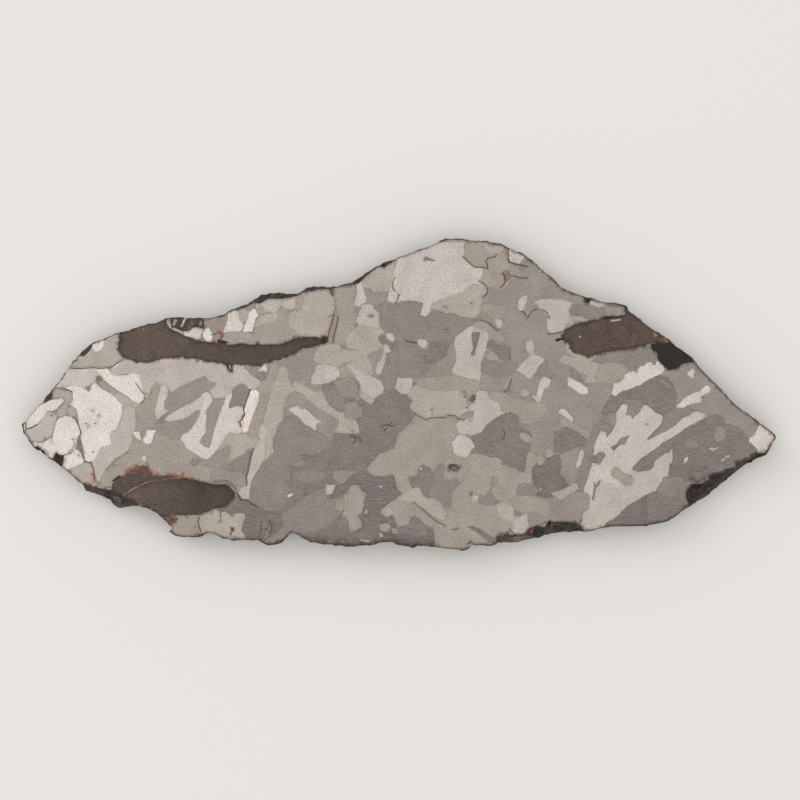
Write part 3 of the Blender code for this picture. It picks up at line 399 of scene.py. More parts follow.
cream -42.2,-26.2 -41.7,-24.9 -40.6,-24.3 -39.8,-24.3 -39.3,-25 -39.1,-26.5 -39.4,-27.6 -40.2,-27.8
  -41.2,-27.6
mid 38,-0.3 46,0 48.5,0 50.4,0 53,-3 51,-8 46.4,-7 43,-3.5 38.5,-3.2
grey 57.5,-9 56,-11 53,-12 51.5,-18 50.3,-22 49.2,-26 46.5,-26.5 47.5,-22 49.5,-17 50.6,-12 52,-8 55,-6
cream 31.5,6.25 32.4,7.4 33.6,8.9 35.1,9.4 36.6,9.8 38,9.95 38.4,9.2 38.2,8.2 37,7.4 36.8,6.1 35.9,5.2
  35.4,4.2 34.8,4 33.8,4.6 33.1,5.6 32,6
grey 39.7,8.9 38.4,8.2 37,7.1 36.9,5.8 37.4,4.8 38.8,4.9 40.7,4 41.6,5.1 40.7,6.1 40,7.1
pale 42.5,9.2 44,10.6 46,9.9 48,9.9 49.6,9.7 50.4,9.3 51.3,8.6 54,7.9 56,8.3 59.5,8.1 61.4,6.8 60.2,5.5
  60.1,4 57,2.9 53,2.9 49.2,3.2 50.4,5 48.5,5.6 46.2,7.4 43.4,8.2
beige 55,8.2 59.5,8.1 61.4,6.8 60.2,5.5 60.1,4 57,2.9 53.5,3 52,4.6 53,6.6
grey 51.2,10.2 53,10.9 56.5,11.5 60.5,11.9 62,12.5 66,13.4 67.2,12.3 67.2,11.4 68,11.6 69.3,11.3 68.9,10.5
  69,9.5 68.6,8.6 67.3,7.9 66.3,8.5 63.6,6.4 61.3,6.5 60.3,7.7 59.3,8.2 56,8.4 54,8 52,8.6 51,9.3
grey 46.1,7.1 47.9,5.4 49.2,3.8 49,3.1 47.7,3.8 46.6,4.3 45.6,4.6 46.2,5.3 45.4,6.3
light 38.85,4.75 40.6,3.85 40.3,2.6 39.8,1.9 39,1.6 38.5,0.7 38.1,-0.6 38,-2 37,-2 36.3,-1.2 35.5,-0.55
  36.8,-0.25 37,0.7 37.3,2.1 37.7,3.8 38.2,4.4
white 45.1,4.55 46.4,4.05 48.5,2.9 49.75,2.1 50.4,1.5 50.4,0 48.5,0 46.7,1.2 45.1,2.25 45,3.5
light 43.2,-3.8 44.35,-3.9 45.1,-4.8 46.3,-5.95 46.4,-7.1 45.9,-7.35 44.9,-6.3 42.8,-5.2 42.55,-4.8
beige 42.8,-5.7 44.9,-6.5 46.4,-7.5 47.9,-8.2 49.5,-9.3 51,-10.3 50.7,-11.6 49.5,-11.4 47.7,-10 45.4,-8.7
  44.1,-8.5 43.2,-9.5 43.1,-7.5
dark 41.3,-9.8 43.3,-9.8 44.6,-8.5 46.4,-9.3 48,-10.3 50,-11.6 50.1,-13.1 49,-14.1 48,-13.9 46.7,-14.2
  45.4,-14.9 43.3,-15.7 41.5,-15 41.3,-12.3
slate 41,-16.2 42.8,-16 43.4,-17.5 43.3,-19.8 42.8,-20.9 43.6,-21.6 44.4,-22.4 45.1,-23.9 45.4,-24.2
  43.8,-25.2 41.5,-25.8 40.5,-26 41.3,-27.2 39.2,-27.4 36.6,-26.7 37.2,-25.4 35.9,-23.6 35.6,-21.3
  35.6,-19.3 36.8,-18.3 38.7,-18.3 39.5,-17
dark 30,-4.7 31.5,-4.9 32,-6.5 31.9,-8 33.3,-9.3 35,-9.8 35.5,-10.8 35.1,-12 35.1,-14 34.6,-15.2 34.1,-17
  33.9,-19.8 31.5,-19.7 30,-19.4 28,-14 28.5,-8
beige 32,-10.6 33.1,-10 34.6,-10.5 35.4,-11.8 34.8,-12.9 33.3,-12.4 32.3,-11.6
beige 34.8,-15.2 36.3,-15.6 36.7,-17 36.5,-18.4 35.6,-19.3 35.5,-22 35.8,-24 34,-23.5 33.6,-21 33.9,-19.8
  34.1,-17
grey 32.3,-23.7 33.8,-23.6 35.1,-23.9 36.2,-24.9 36.4,-26.7 32,-27 31.3,-26 31.5,-24.7
pale 37,-25.8 37.7,-24.9 38.3,-24.6 38,-25.3
beige 36.6,-16.4 38,-16.4 38.8,-17.5 38.4,-18.6 37.2,-18.8 36.7,-17.8
beige 39,-14.6 40.8,-14.4 41.5,-15.2 40.8,-16.4 40,-16.9 39,-15.7
pale 40.5,-26 41.8,-25.9 43.8,-25.3 45.4,-24.3 46.4,-23.6 47.7,-23.9 48,-24.9 46.4,-26 45.1,-26.7 44.9,-28
  42.8,-28 41.5,-27.2
light 48.9,-14.5 49.4,-15.4 49.1,-16.7 48.6,-18.3 48,-19.3 47.4,-19.7 47.2,-19 47.7,-17 48.3,-15.2
mid 71,6.6 78,8.6 79,9 84.5,3 88,-1.3 82.3,-4.8 77,-3 73.6,-3.6 71.5,-5.5 70,-5 66,4.2 70,5.4
dark 56.7,-0.1 58,-0.4 58.7,0.4 60,0.9 63.2,2.1 64.4,2.4 65.5,3.3 67,4.2 69.2,5.1 71.5,4.6 73,2.6 74,0
  73.6,-3 74,-6 72,-8.5 69,-9.6 66.1,-12.2 60,-8 62.2,-6.6 59,-2.6 57.9,-4.6 56.5,-5.2 54.9,-5.8 54,-4.9
  54.6,-3.2 55.8,-1.5
mid 68.9,4 70.5,3.8 72.5,2.2 72.2,1.5 70.5,2.7
grey 60,-0.6 61.5,-1.4 63,-1.2 64.6,-2 65,-3 64.2,-4.6 63,-5.8 62.2,-6.6 61,-5 60.9,-3 60,-2.2
grey 70.5,-5.5 73.6,-3.6 77,-3 79.2,-4.4 77,-5.6 75.4,-6.4 74,-7.7 72,-9.2 69,-9.4 70.2,-7.4
white 57.75,-0.45 56.85,-0.05 56.7,0.6 57.1,1.75 57.1,2.9 58.1,3 59,3.3 59.9,4.05 60.3,5.35 61.2,5.85
  62,5.85 62.25,6.35 63.4,5.7 63.65,6.6 64.4,7.5 65.2,7.5 65.95,8.4 67.1,8.65 67.6,7.75 68.15,7.65 68.65,8.8
  69.65,8.55 70.55,7.4 70.75,6.75 70.05,5.6 69.15,5.1 66.95,4.2 65.45,3.3 64.4,2.4 63.25,2.15 61.6,1.35
  59.8,0.95 58.75,0.45
white 76.7,5.5 77.3,6.2 78.2,6.9 78.6,6.3 78.4,4.8 78.2,4.3 77.2,4.8
white 82.2,2.4 81.3,2.2 80,0.9 78.2,0.3 76.7,-0.5 75,-2 73.6,-3.5 75.5,-3.5 77,-2.8 78.8,-2.3 80.3,-2.1
  80.6,-1.5 80.2,-0.9 80.8,-0.3 82.3,0.4 83.1,1.5
dark 75.8,-9.2 79,-7.6 82,-6.2 84,-5.2 86,-5.8 87,-8 89,-8 91,-9 93,-12 95,-14 94.5,-16.3 90,-19.5 86,-20.9
  83,-21 78,-18.8 72,-18.4 73,-14.5 70.5,-12.8
dark 73,-12.2 76.4,-11 80.5,-11.6 82,-13.5 86,-14.2 90,-15.5 93.5,-15 94.5,-16.3 90,-19 84,-19.8 78,-18.4
  73,-18.3 72.7,-15
mid 84.3,-8.5 85.8,-8.5 86.9,-9.8 87,-11.4 85.8,-12.6 84.3,-12.6 83.8,-10.6
grey 76.4,-11.9 77.9,-11.6 79.7,-12.6 79.7,-14.2 77.4,-14.5 76.4,-13.7
mid 83.1,1.5 84.5,3.2 88.3,-1 92,-4.5 96.5,-7.5 95.2,-9.6 93,-10.5 89,-8 86,-5.5 82.3,-4.8 81,-5 82,-2
  82.5,0.2
light 59.9,-2.35 60.95,-3 60.75,-4.15 60.3,-6.1 60.9,-5.45 61.8,-5.7 62.25,-6.6 63.05,-5.7 64.2,-4.55
  65.1,-2.9 65.9,-2.8 66.9,-3.65 68.45,-4.8 70.1,-5.6 70.2,-6.5 69.95,-7.5 69.05,-8.8 67.9,-9.85 66.9,-10.75
  66.2,-11.65 66.1,-12.2 67.5,-11.65 68.9,-10.75 70.5,-10 72.25,-9.2 74.05,-7.8 75.6,-6.25 77.4,-5.5
  78.4,-4.7 79.4,-4.6 81,-5.1 81.75,-5.7 81,-6.25 78.9,-7.55 77.1,-8.55 75.85,-9.1 74.95,-10 72.25,-11.65
  70.2,-12.9 69.2,-13.8 67.1,-15.2 65.3,-16.5 64.2,-17.15 63.5,-18.05 62.4,-19.1 62.3,-20 63.6,-20.6
  65.4,-20.3 67,-20 67.8,-19 68,-18 69.2,-16.8 70.7,-15.9 72,-15.4 72.8,-14.2 72.7,-15 72.9,-17 72.5,-18.5
  71.8,-20 71.7,-21.6 70.5,-22 70,-23 69.2,-24 68.5,-25.5 66,-26.5 64,-27.8 62,-29 52,-29.5 50.8,-27.2
  50.25,-26.2 49.35,-25.95 49.35,-25.2 49.75,-23.9 50.4,-22.1 50.9,-20.3 51.4,-18.75 51.8,-15.95 52,-14.4
  52.3,-12.85 52.8,-11.6 53.45,-10.3 54,-9.65 55,-9.9 55.4,-10.55 55.25,-11.3 55.65,-11.2 56.9,-9.8
  57.65,-8.25 57.9,-6.45 57.95,-4.65 58.6,-4.15 59.2,-3
cream 62.3,-20.2 63.6,-20.7 65.4,-20.4 67,-20 67.8,-19 68,-18 69.2,-16.8 70.7,-15.9 72,-15.4 72.8,-14.2
  72.7,-15 72.9,-17 72.5,-18.5 71.8,-20 71.7,-21.6 70.5,-22 70,-23 69.2,-24 68.5,-25.5 66,-26.5 64,-27.8
  62,-29 53,-29.5 52.6,-26 53.4,-24.5 56,-23.5 58.5,-25.5 62.5,-23.8 62.7,-22
dark 72,-12 70,-12.8 69.2,-13.8 67.1,-15.2 65.3,-16.5 64.2,-17.15 63.5,-18.05 62.4,-19.1 62.2,-20 63.6,-20.6
  65.4,-20.3 67,-20 67.7,-19 68,-18 69.2,-16.8 70.5,-15.9 72,-15.5 72.8,-14 74,-13 74.5,-11.5 73.5,-11
dark 51.8,-16.1 52.6,-16 53,-16.8 52.8,-18.4 52,-18.2 51.4,-18.2 51.2,-17.5 51.5,-16.5
grey 52.6,-16 53.6,-15.3 54.5,-15.3 55.1,-16.1 54.7,-16.9 54,-17.9 53.4,-18.7 52.8,-18.4 52.9,-16.8
grey 61.15,-10.7 60.7,-11.1 59.8,-11.3 58.7,-12 58.2,-12.9 58.6,-13.9 59,-13.4 60,-13.4 60.7,-12.7
  60.8,-11.9 61.4,-11
dark 58.2,-12.9 57.2,-13.6 56.4,-14.1 56.8,-14.5 57.3,-15.1 57.8,-14.4 58.6,-13.9
beige 57.4,-19.3 58.5,-19.3 59.2,-20.2 60.2,-20.9 61.8,-21.3 62.5,-22.3 62.4,-23.5 61.6,-24.2 60.2,-24.4
  59.5,-23.9 58.7,-22.9 57.2,-22.1 56.4,-21.3 56.6,-20
grey 51.8,-23.1 52.3,-23.9 53.1,-23.1 53.9,-22.5 53.5,-23.9 52.8,-24.7 52.3,-26.2 52.1,-28 51.4,-28
  51.8,-26.2 52,-24.7
white 96,-8.2 97.3,-8 99,-9 100.3,-10.5 100.5,-11.5 100,-12.4 99,-12.9 98.6,-13.9 98.1,-15.8 96.5,-15.7
  95.5,-15.6 95.3,-14.4 94.5,-13.8 93.8,-13 93,-12.5 93.3,-11.5 94.5,-10.8 95,-9.7
slate 72,-18.3 77,-18.8 82,-19 83,-20.5 82.5,-22 81,-23.3 78,-23.5 76,-23 75,-21.9 71.8,-21.7 72,-20
grey 70.3,-22 75,-21.9 76,-23 77,-24 76.8,-25 76.3,-26.1 76.4,-27.6 75.3,-28 73.5,-27 71.8,-26.9 69.5,-26.2
  68.5,-25.5 69.2,-24 70,-23
dark 62,-29 64,-27.8 66,-26.5 68.4,-25.6 70,-26.3 72,-27 74,-27.2 76,-28 77,-29.3 75,-31 74.5,-32.4 72,-33.5
  68.4,-34.7 62,-35.5
light 82.3,-14.4 83.2,-14 84,-14.3 84.6,-13.9 84.9,-14.4 84,-14.7 83.5,-15.2 83,-14.8
light 85.5,-17.7 86.5,-16.9 87.3,-16.1 88,-16.2 87.9,-16.6 86.8,-17 86,-17.8
white 75.8,-18.2 76,-17 77,-16.4 76.9,-17.3 76.3,-18
mid 34,26 38,25.4 44,25.2 46.4,24.2 48.2,24.1 48,25 49.5,26 45,27.4 42.5,29.7 38,33.5 34,37 32,34
mid 36,29 38,26.2 41,26.4 41.8,27.8 40,29.2
cream 36,24.5 38,25.2 40,25.3 42,25.2 44,25 45.5,24.6 46.4,24 45.8,23 45.4,22 45.6,21 45.3,20 45,19
  44.5,17.8 43.7,17 42.4,16.3 41.3,16 40.2,16.6 39.4,17.8 39.6,19.2 39.6,20.8 38.8,21.8 38,22.6
grey 46.2,24 48,23.9 50.5,24 52.5,24 54.5,23 55.3,22 55.5,21.3 53.5,20.6 52,19.9 50.3,19.9 48.8,20.7
  46.5,20.8 45.5,21.4 45.3,22.3 45.8,23.2
cream 50.6,24.2 51.3,24.9 52.2,25.2 54.9,24.4 55,24 54.6,23.2 53,23 52,23.4 51,23.8
mid 54.5,24.6 58,24.2 60.6,23.7 60.2,22.8 60,21.9 60.3,21.4 58,20.9 55.5,21.1 55,22.3 54.6,23.2
pale 45.3,20.6 46.5,20.8 48.8,20.6 50.2,19.8 50,19.2 48,18.8 46,18 44.8,17.5 45,18.6
dark 49,25.8 49.3,24.4 50.2,24 50.9,24.3 50.4,25 49.8,26
grey -39.2,-24 -38,-21.6 -36,-18.4 -33.8,-16.3 -30,-16.5 -26,-20 -24,-24.5 -27.5,-28 -30.3,-30.5 -34,-31
  -39,-29
dark -30,-23 -27,-22.6 -24,-22.5 -21,-21.5 -18,-21.5 -16.4,-23.8 -19,-23.8 -19.6,-25 -21.5,-25.2 -24.6,-27
  -26.7,-29.1 -29.7,-31.6 -31.5,-31 -29,-28 -27,-25.5
slate -39.5,-28.8 -34,-31 -30.5,-31 -30.8,-32.7 -30.3,-34.8 -31.5,-36.3 -34.1,-38.1 -36,-39.5 -40,-39.3
  -46,-38 -46,-33
grey -21.5,-25.3 -20,-25 -19.5,-27.6 -18.5,-28.1 -16.7,-28.1 -16.2,-30.2 -14.9,-31.2 -15,-32.5 -16.9,-33.3
  -17.9,-34.8 -20,-35.6 -21.5,-36.3 -22.1,-38.6 -25.6,-38 -27.9,-36.6 -29,-36.8 -29.7,-38.9 -31,-40
  -34.9,-40 -34.1,-38.1 -31.5,-36.3 -30.3,-34.8 -30.8,-32.7 -29.7,-31.7 -28.7,-30.2 -26.7,-29.2 -24.6,-27.1
dark -22.1,-39 -21.5,-36.3 -20,-35.6 -17.9,-34.8 -16.9,-33.3 -15,-32.5 -13.8,-32.5 -13.1,-33.8 -12.6,-36.6
  -14.3,-37.5 -14,-40 -18,-40
cream -19,-24 -16.5,-24 -17.4,-26.3 -19,-26.7
slate -14.5,-23.5 -12,-21 -10,-20.3 -8.3,-20 -6,-21.6 -4,-21.8 -1.5,-21.3 -0.8,-22 -0.2,-23.5 -0.4,-24.4
  0.3,-25.6 1.6,-26.3 0.6,-27.1 -0.5,-28 -3,-29.5 -4.8,-31 -9,-30 -8.8,-27.5 -8,-26.5 -9.5,-25.6 -10.4,-24
  -12.2,-24 -13,-25 -14.2,-26.4 -16,-27.6 -18.6,-27.8 -19,-26.8 -17.4,-26.4 -16.4,-24
slate -9.7,-31.5 -9,-29.8 -4.8,-31 -4,-32.2 -1,-32 -0.3,-34.5 0,-37 -0.4,-40 -7,-41 -14,-40 -14.3,-37.5
  -12.6,-36.7 -9.7,-35.4 -9.5,-33.8 -10.6,-32.2
dark -14.2,-37.4 -11,-36.4 -7,-37 -1,-37.5 1,-41 -7,-41.5 -14,-40.5
beige -12.8,-24.8 -12.1,-24.2 -10.5,-24.2 -9.7,-25.6 -8.2,-26.5 -9,-27.4 -9.1,-29.7 -9.7,-31.5 -10.8,-32.2
  -9.7,-33.8 -9.7,-35.3 -11.3,-36.1 -12.6,-36.6 -13.1,-33.8 -13.8,-32.5 -14.9,-31.2 -16.4,-30.2 -16.2,-28.9
  -14.6,-27.9 -14.1,-26.6 -12.9,-26.3
beige -8.2,-19.7 -6.9,-18.1 -5.6,-16.8 -4.9,-15.8 -3.1,-15.3 -1.5,-14.5 0,-14.3 1,-20 0,-22 -1.8,-21.2
  -4.1,-21.7 -6.4,-21.5 -7.7,-20.7
pale -4.5,-31.2 -3.8,-30.2 -2.3,-28.9 0,-27.6 0.5,-31 -1.5,-32 -3.1,-32.5
pale -8.8,-30.7 -8.1,-30.3 -7.9,-31.5 -8.7,-32
beige -5,-34.8 -3.6,-34 -2.3,-34.3 -1.8,-35.3 -2.8,-36.6 -4.4,-36.1
beige -1.5,-35.3 0,-35.8 -0.3,-37 -1.4,-36.8
cream -4.9,-36.8 -4.4,-36.6 -3.8,-37.6 -4.6,-37.9
white -29.4,-27.1 -29,-26.5 -27.9,-26.3 -27.7,-26.8 -28.7,-27.4
beige 11.8,-18.3 13.4,-16.3 14.4,-15.3 16,-16.3 18,-16.7 19.2,-16 20,-15.6 24.2,-16.5 26.7,-16.8 28.3,-18.4
  29.8,-19.4 31.3,-19.7 32.4,-20.5 33.7,-20.6 34,-23.4 32,-24 31.4,-25.5 31.5,-26.8 36,-27 38.6,-27.6
  40.2,-28.6 40.2,-30 39.8,-32.4 38.9,-32.6 37.5,-31.5 36.5,-31 35,-31.2 34.5,-33 34.5,-36.6 30,-40 20,-41
  10,-42 9.7,-36 7.3,-34.5 6,-33 4.4,-32 3,-33 2.6,-34.6 0,-35 -1.2,-32 -2,-29 1.3,-26.3 4,-24.8 9,-20.5
beige -0.9,-14 0,-10.9 2.4,-8.4 4.4,-5.4 7.7,-7 9.3,-6.2 12.9,-6.2 15.4,-6.3 15.9,-7.1 15.4,-8.9 15.9,-10.4
  14.9,-12 14.4,-13.3 14.4,-15.3 13.4,-16.3 11.8,-18.1 10.6,-18.4 10.6,-19.4 9.3,-20.2 7.7,-18.9 6.7,-18.4
  5.4,-19.4 5,-21.5 2.9,-21.8 3.4,-24 3.9,-24.8 1.3,-26.3 0,-25.3 -0.5,-23.3 -1,-21
light 15.9,-10.8 17.2,-10.7 18.8,-11.5 19.8,-12.5 20.4,-13.9 19.3,-14.8 19,-16.1 18,-16.7 15.9,-16.3
  14.7,-15.6 14.4,-13.3 15,-12
dark 19.3,-11.2 22.2,-9.9 22.6,-8.9 23.9,-7.6 25.7,-6.3 27.2,-5.4 28.8,-4.9 31.1,-4.7 32,-5.8 31.9,-7.4
  32.1,-9.9 32.4,-11.7 33.1,-12.2 34.7,-12.9 35.3,-13.3 35.2,-14.8 34.4,-15.6 33.9,-18.4 33.6,-20.4
  32.4,-20.4 31.3,-19.7 29.8,-19.4 28.3,-18.4 26.7,-16.8 24.2,-16.5 22.4,-15.7 21.3,-15.3 20,-15.6
  19.7,-15.1 20.6,-13.9
grey 10.6,-18.4 11.8,-18.4 12.7,-19.4 12.1,-20.7 12.4,-22.2 14.2,-23 14.7,-22.1 15.7,-22.2 16.8,-23.5
  15.9,-24.3 14.9,-25.1 14.2,-26.3 14.2,-27.6 14.5,-28.6 13.9,-29.7 14.7,-30.8 13.4,-29.9 11.8,-29.8
  11.6,-28.6 10.1,-27.7 8.3,-27.9 7,-26.8 6.2,-25.6 5.7,-24.5 3.9,-24.8 3.1,-23.5 2.9,-22 5.2,-21.6
  5.4,-19.4 6.7,-18.4 8,-19.4 9.3,-20.7 10.3,-19.7
dark 9.3,-20.9 8,-19.4 6.7,-18.4 5.4,-19.4 5.2,-21.6 2.9,-22 3.1,-23.5 3.9,-24.8 5.7,-24.5 6.2,-25.6 7,-26.8
  8,-27.4 8.6,-25 9.4,-23
grey 14.2,-23 14.7,-22.1 15.7,-22.2 16.8,-23.5 15.9,-24.3 14.9,-25.1 14,-24.4
beige 0,-23 1.8,-23 3.1,-24.3 2.4,-25.6 1.3,-26.2 0.2,-25.2 -0.3,-24.2
pale 3.1,-25.3 4.4,-24.8 5.7,-24.7 6.2,-26.1 7.7,-27.6 10,-27.9 11.6,-28.9 11.8,-30.2 13,-31 12,-33.5
  9,-32.2 7.7,-30.9 4.4,-28.6 0,-28.5 1.3,-26.6
beige -1.2,-30.4 0,-29.9 4,-31 3.1,-32.7 2.6,-34.4 1.3,-34.8 0,-34.2 -0.5,-33 -1.2,-32
dark 0,-35.3 1.3,-35 2.9,-34.5 3.4,-32.5 4.4,-32 5.9,-33 7.2,-34.5 9.3,-35.3 9.8,-37.1 9.7,-40.5 6.5,-41.5
  1.3,-41.5 -0.5,-38.4
slate -0.4,-37.4 2,-37.2 4.5,-38 7.5,-37.5 8,-36 9.4,-35.5 9.8,-37.1 9.7,-41.2 2,-41.5 -1,-39.8
dark 3.6,-28.2 4.9,-28.8 8.3,-31.7 10.4,-33.4 12.9,-34.7 12.7,-35.1 10.2,-33.8 8.1,-32.2 5,-29.4 3.8,-28.6
dark 19.5,-34.8 21.1,-35.3 22.6,-36.1 25.2,-37.9 26.2,-38.4 25.7,-39.4 24.4,-39.4 22.9,-38.1 20.6,-36.3
  18.3,-35
pale 26.2,-29.2 27.7,-28.4 30.3,-29.4 30.8,-30.7 30.6,-32 31.6,-32.5 33.4,-32 34.5,-33 34.3,-35 33.6,-36.6
  31.1,-37.1 30.3,-35.6 29.5,-33.8 27.5,-33.3 26.5,-31.7 26.2,-30.2
dark 20,-25.8 19,-25.8 19,-26.8 19.8,-27
cream 19.8,-26.8 21.3,-26.6 21.3,-28.1 20,-28.9 19.5,-28.1
grey 21.6,-26.6 22.9,-27 23.6,-26.4 25.2,-26.6 25.9,-27.9 27.5,-28.6 25.9,-29.2 23.6,-29.4 21.6,-28.9
  21.2,-28.1
mid 24.7,-22 25.7,-22 26.5,-23 25.7,-24.3 24.9,-25.6 25.2,-26.6 23.6,-26.3 24.7,-25
grey 30.9,-30.6 32,-31 33.1,-31.5 33,-32.2 31.5,-32.3 30.7,-31.8
mid 35,-31.2 36.5,-31 37.5,-31.5 38.9,-32.6 39.8,-32.4 39.9,-34.3 38.9,-35.2 36,-35.3 34.7,-34.8
mid 44.9,-27 46.4,-26 48,-25.9 49.4,-25.9 50.4,-26.3 51,-27.5 50.8,-29.5 50.5,-30.5 49.2,-31.6 48.6,-33.3
  47.2,-34 43,-33.8 40.5,-33.8 40,-31 40.2,-29 42,-28.2 43.5,-28
cream 51,-27.4 51.3,-28 52.3,-28.3 53,-26.5 60,-27 64,-27.8 62,-28.7 60.9,-29.5 58.6,-31.8 56,-33.8 55,-34.1
  54.3,-35.8 52.5,-36 50.4,-36.8 48.6,-35.3 48.7,-34.1 48.9,-33.3 49.1,-31.5 49.9,-30.9 50.7,-30.2
  50.8,-29.5
slate 54.3,-36 55.2,-34.2 58.6,-31.9 60.9,-29.6 62,-28.8 64,-27.8 66,-26.5 66,-36
beige 4.2,4 15,5.2 19,4 21.8,3.4 21.5,1.2 20.5,0.4 20.6,-2.1 17.9,-3.8 15.4,-5.6 13.2,-5.5 12.6,-6.1 9,-6.2
  7.3,-6.7 6,-6 4.7,-5.2 3.2,-3.6 3.3,-2.6 4,-1.8 3.3,-0.8 2.3,0.1 3.3,1 4,2.2 5.5,2.7 4,3.6
pale 4.5,2.4 9,1 16,1 18,-1 18.5,-3.4 15.4,-5.6 13.2,-5.5 12.6,-6.1 9,-6.2 7.3,-6.7 6,-6 4.7,-5.2 3.2,-3.6
  3.3,-2.6 4,-1.8 3.3,-0.8 2.3,0.1 3.3,1
beige 17.8,3.8 19.5,3.9 21.8,3.3 21.5,1.2 20.5,0.4 18.4,0.8 17.4,2
beige 24,0.8 28,0.5 31,-1 35.5,-2 38,-2.2 40,-4 37,-7.5 33,-8 32,-5.5 30,-4.7 28.5,-5 27.4,-4.4 26.9,-2.3
  25.6,-1.8 24.1,-0.8
cream 20.8,0.5 21.3,1 23.8,0.8 24.1,-0.8 25.6,-1.8 26.9,-2.3 27.4,-4.4 28.5,-5 26.7,-5.8 24.6,-7.2 22.8,-9
  22.3,-10 19.2,-11 18.5,-10.5 16,-10.6 15.5,-9 15.5,-8 16.4,-7 15.4,-5.6 16.4,-4.9 17.9,-3.8 20.6,-2.1
  20.5,-0.8
mid 20,-4.3 18.3,-4.5 17,-5.3 15.7,-6.1 16.2,-7 17.5,-6.8 20,-6.1
dark -1,1.2 0,0.9 1,0.1 2.3,0.1 3.3,-0.8 4,-1.8 3.3,-2.6 3.2,-3.6 4.1,-4.7 4.7,-5.4 4.1,-6.4 3.6,-7.4
  1.5,-9.2 0,-10.5 -1,-11.5
pale 32.3,0.8 33,1.3 34.4,1.3 35,0.3 34.6,-0.5 33.4,-0.6 32.6,0
pale 28.2,1.8 28.9,3 29.9,5.2 30.1,4.4 29.3,2.6 28.6,1.2
stain 19,-1.5 19.2,-0.8 19.8,0 20.6,-0.2 20.7,-1.2 20,-2 19.3,-2
slate -44.4,-26.2 -43.5,-26.5 -42,-26.8 -41.6,-28 -40,-28.2 -38,-29.6 -36,-31 -36,-34 -39,-37 -40.4,-37.4
  -41.5,-36.1 -40.9,-34.1 -40.4,-32.3 -40.9,-31.5 -43.2,-31.5 -43.8,-32.4 -44.7,-31.9 -45.5,-31 -47.3,-31.4
  -46,-29.9 -44.5,-28.9 -43.5,-27.6
beige -57.3,-31.7 -55,-31.7 -52.7,-31.7 -52.7,-34.3 -52.2,-36.1 -51.6,-37.5 -52.4,-38.5 -59.1,-38.5
  -61.6,-36.6 -59.6,-35.3 -58.6,-34.1
mid -55.2,-37.7 -54.5,-35.6 -53.5,-34.6 -52.7,-34.5 -52.2,-36.1 -51.6,-37.7
pale -52.4,-31.8 -51.2,-30.7 -49.4,-30.4 -47.8,-30.8 -47.1,-31.4 -45.5,-31 -44.7,-31.9 -43.8,-32.4
  -43.2,-31.5 -40.9,-31.5 -40.4,-32.3 -40.9,-34.1 -41.5,-36.1 -40.4,-37.4 -40.1,-39.2 -46.3,-39.2
  -47.8,-37.8 -49.7,-36.8 -50.9,-37.8 -51.5,-37.4 -52.2,-35.8 -52.6,-34.1
mid -47.8,-33.8 -46.8,-32.9 -46.2,-33.8 -47.2,-34.3
stain -44.5,-35.1 -43.5,-35.1 -43.2,-36.1 -44.1,-36.6
cream -37.6,-13.4 -38.4,-15.5 -38.9,-17.4 -39.4,-19.4 -40,-21.7 -40.1,-23.3 -39.8,-24.6 -39.1,-25
  -39.1,-23.8 -38.2,-21.9 -37.2,-20.2 -36.2,-18.4 -35.1,-16.8 -35.6,-13
oxide -77,-27.5 -76,-26.5 -75.8,-24 -74.9,-22.7 -73.8,-21.8 -72.3,-21.5 -71.9,-20.6 -71,-19.9 -69.3,-19.3
  -67.4,-18.8 -66,-19.2 -65.4,-20.2 -65,-21.3 -63,-21.6 -60,-21.3 -57,-21.9 -54,-22.6 -60.6,-23 -64,-23.5
  -66.5,-24 -68.3,-25 -70.4,-26 -71.9,-27 -72.7,-28.5
grey -6.5,23 -5,21.5 -4.6,18.5 -4.5,17.5 -3.3,16.5 -1,14 1,14.3 2.5,14.6 4,16 3,18 1.5,19.5 3,20.8 4.5,22
  5.4,23.6 3,25 1.2,24.2 -0.5,24.1 -3,24.8
dark -5,15 -4.2,15.6 -3.4,15.8 -2.6,14.6 -2,13.9 -3.5,13.2 -4.6,13.7
cream -3.3,16 -2.4,16.3 -1.35,16 -0.7,14.9 -1.2,13.9 -2.4,14.2 -2.9,15
pale -22.4,9.2 -21.9,11 -20.5,12.7 -18,13.3 -16,13.3 -15,12.3 -14.8,10.8 -14.2,9.5 -13.5,8.8 -16,7.6
  -20.1,7.9 -21.5,8.2
cream -21.7,7.5 -20.1,7.9 -16.2,7.5 -15.2,5.2 -16.8,3.8 -19.6,2.9 -22.9,3.1 -22.6,4.7 -21.8,6.1
light -19.5,5.5 -18.5,7 -16.5,7.3 -15.3,5.2 -16.8,3.8 -19.6,3
pale -14.5,12 -13,11.7 -10,11.9 -8.3,10.8 -7.6,9 -6.9,7.5 -6.3,5.6 -8,4.9 -10,6.3 -12.5,8 -14.2,9.2 -14.8,11
cream -13.5,8.4 -11,7 -8.5,5.4 -6,4.4 -4.2,3.2 -3.7,1.4 -4.4,0.2 -6.6,-1.1 -8,0 -9.9,1 -9.9,2.6 -11,4.6
  -12.5,6.5
mid -16.8,3.8 -14.5,4.2 -12.5,4.6 -11.2,3.5 -10.6,2 -10.5,0.5 -11,-1 -15,-0.5 -15.5,0.5 -17,2.8
cream 0,4.4 1.8,4.3 3.7,4.3 3.8,2.2 2.9,0.3 1.8,0.1 0.4,1.2 -0.9,1.7 -0.4,2.7
dark -26,-15.8 -24.5,-16 -22.5,-16.5 -21,-15.8 -19.5,-14.6 -18,-13.6 -17.4,-15 -17.6,-18 -18.5,-20 -20,-20
  -22.5,-19.5 -23.5,-18.5 -24.8,-17
mid -27.2,-18.4 -26,-17.5 -25,-17.7 -24.1,-18.6 -25.5,-19 -27,-19
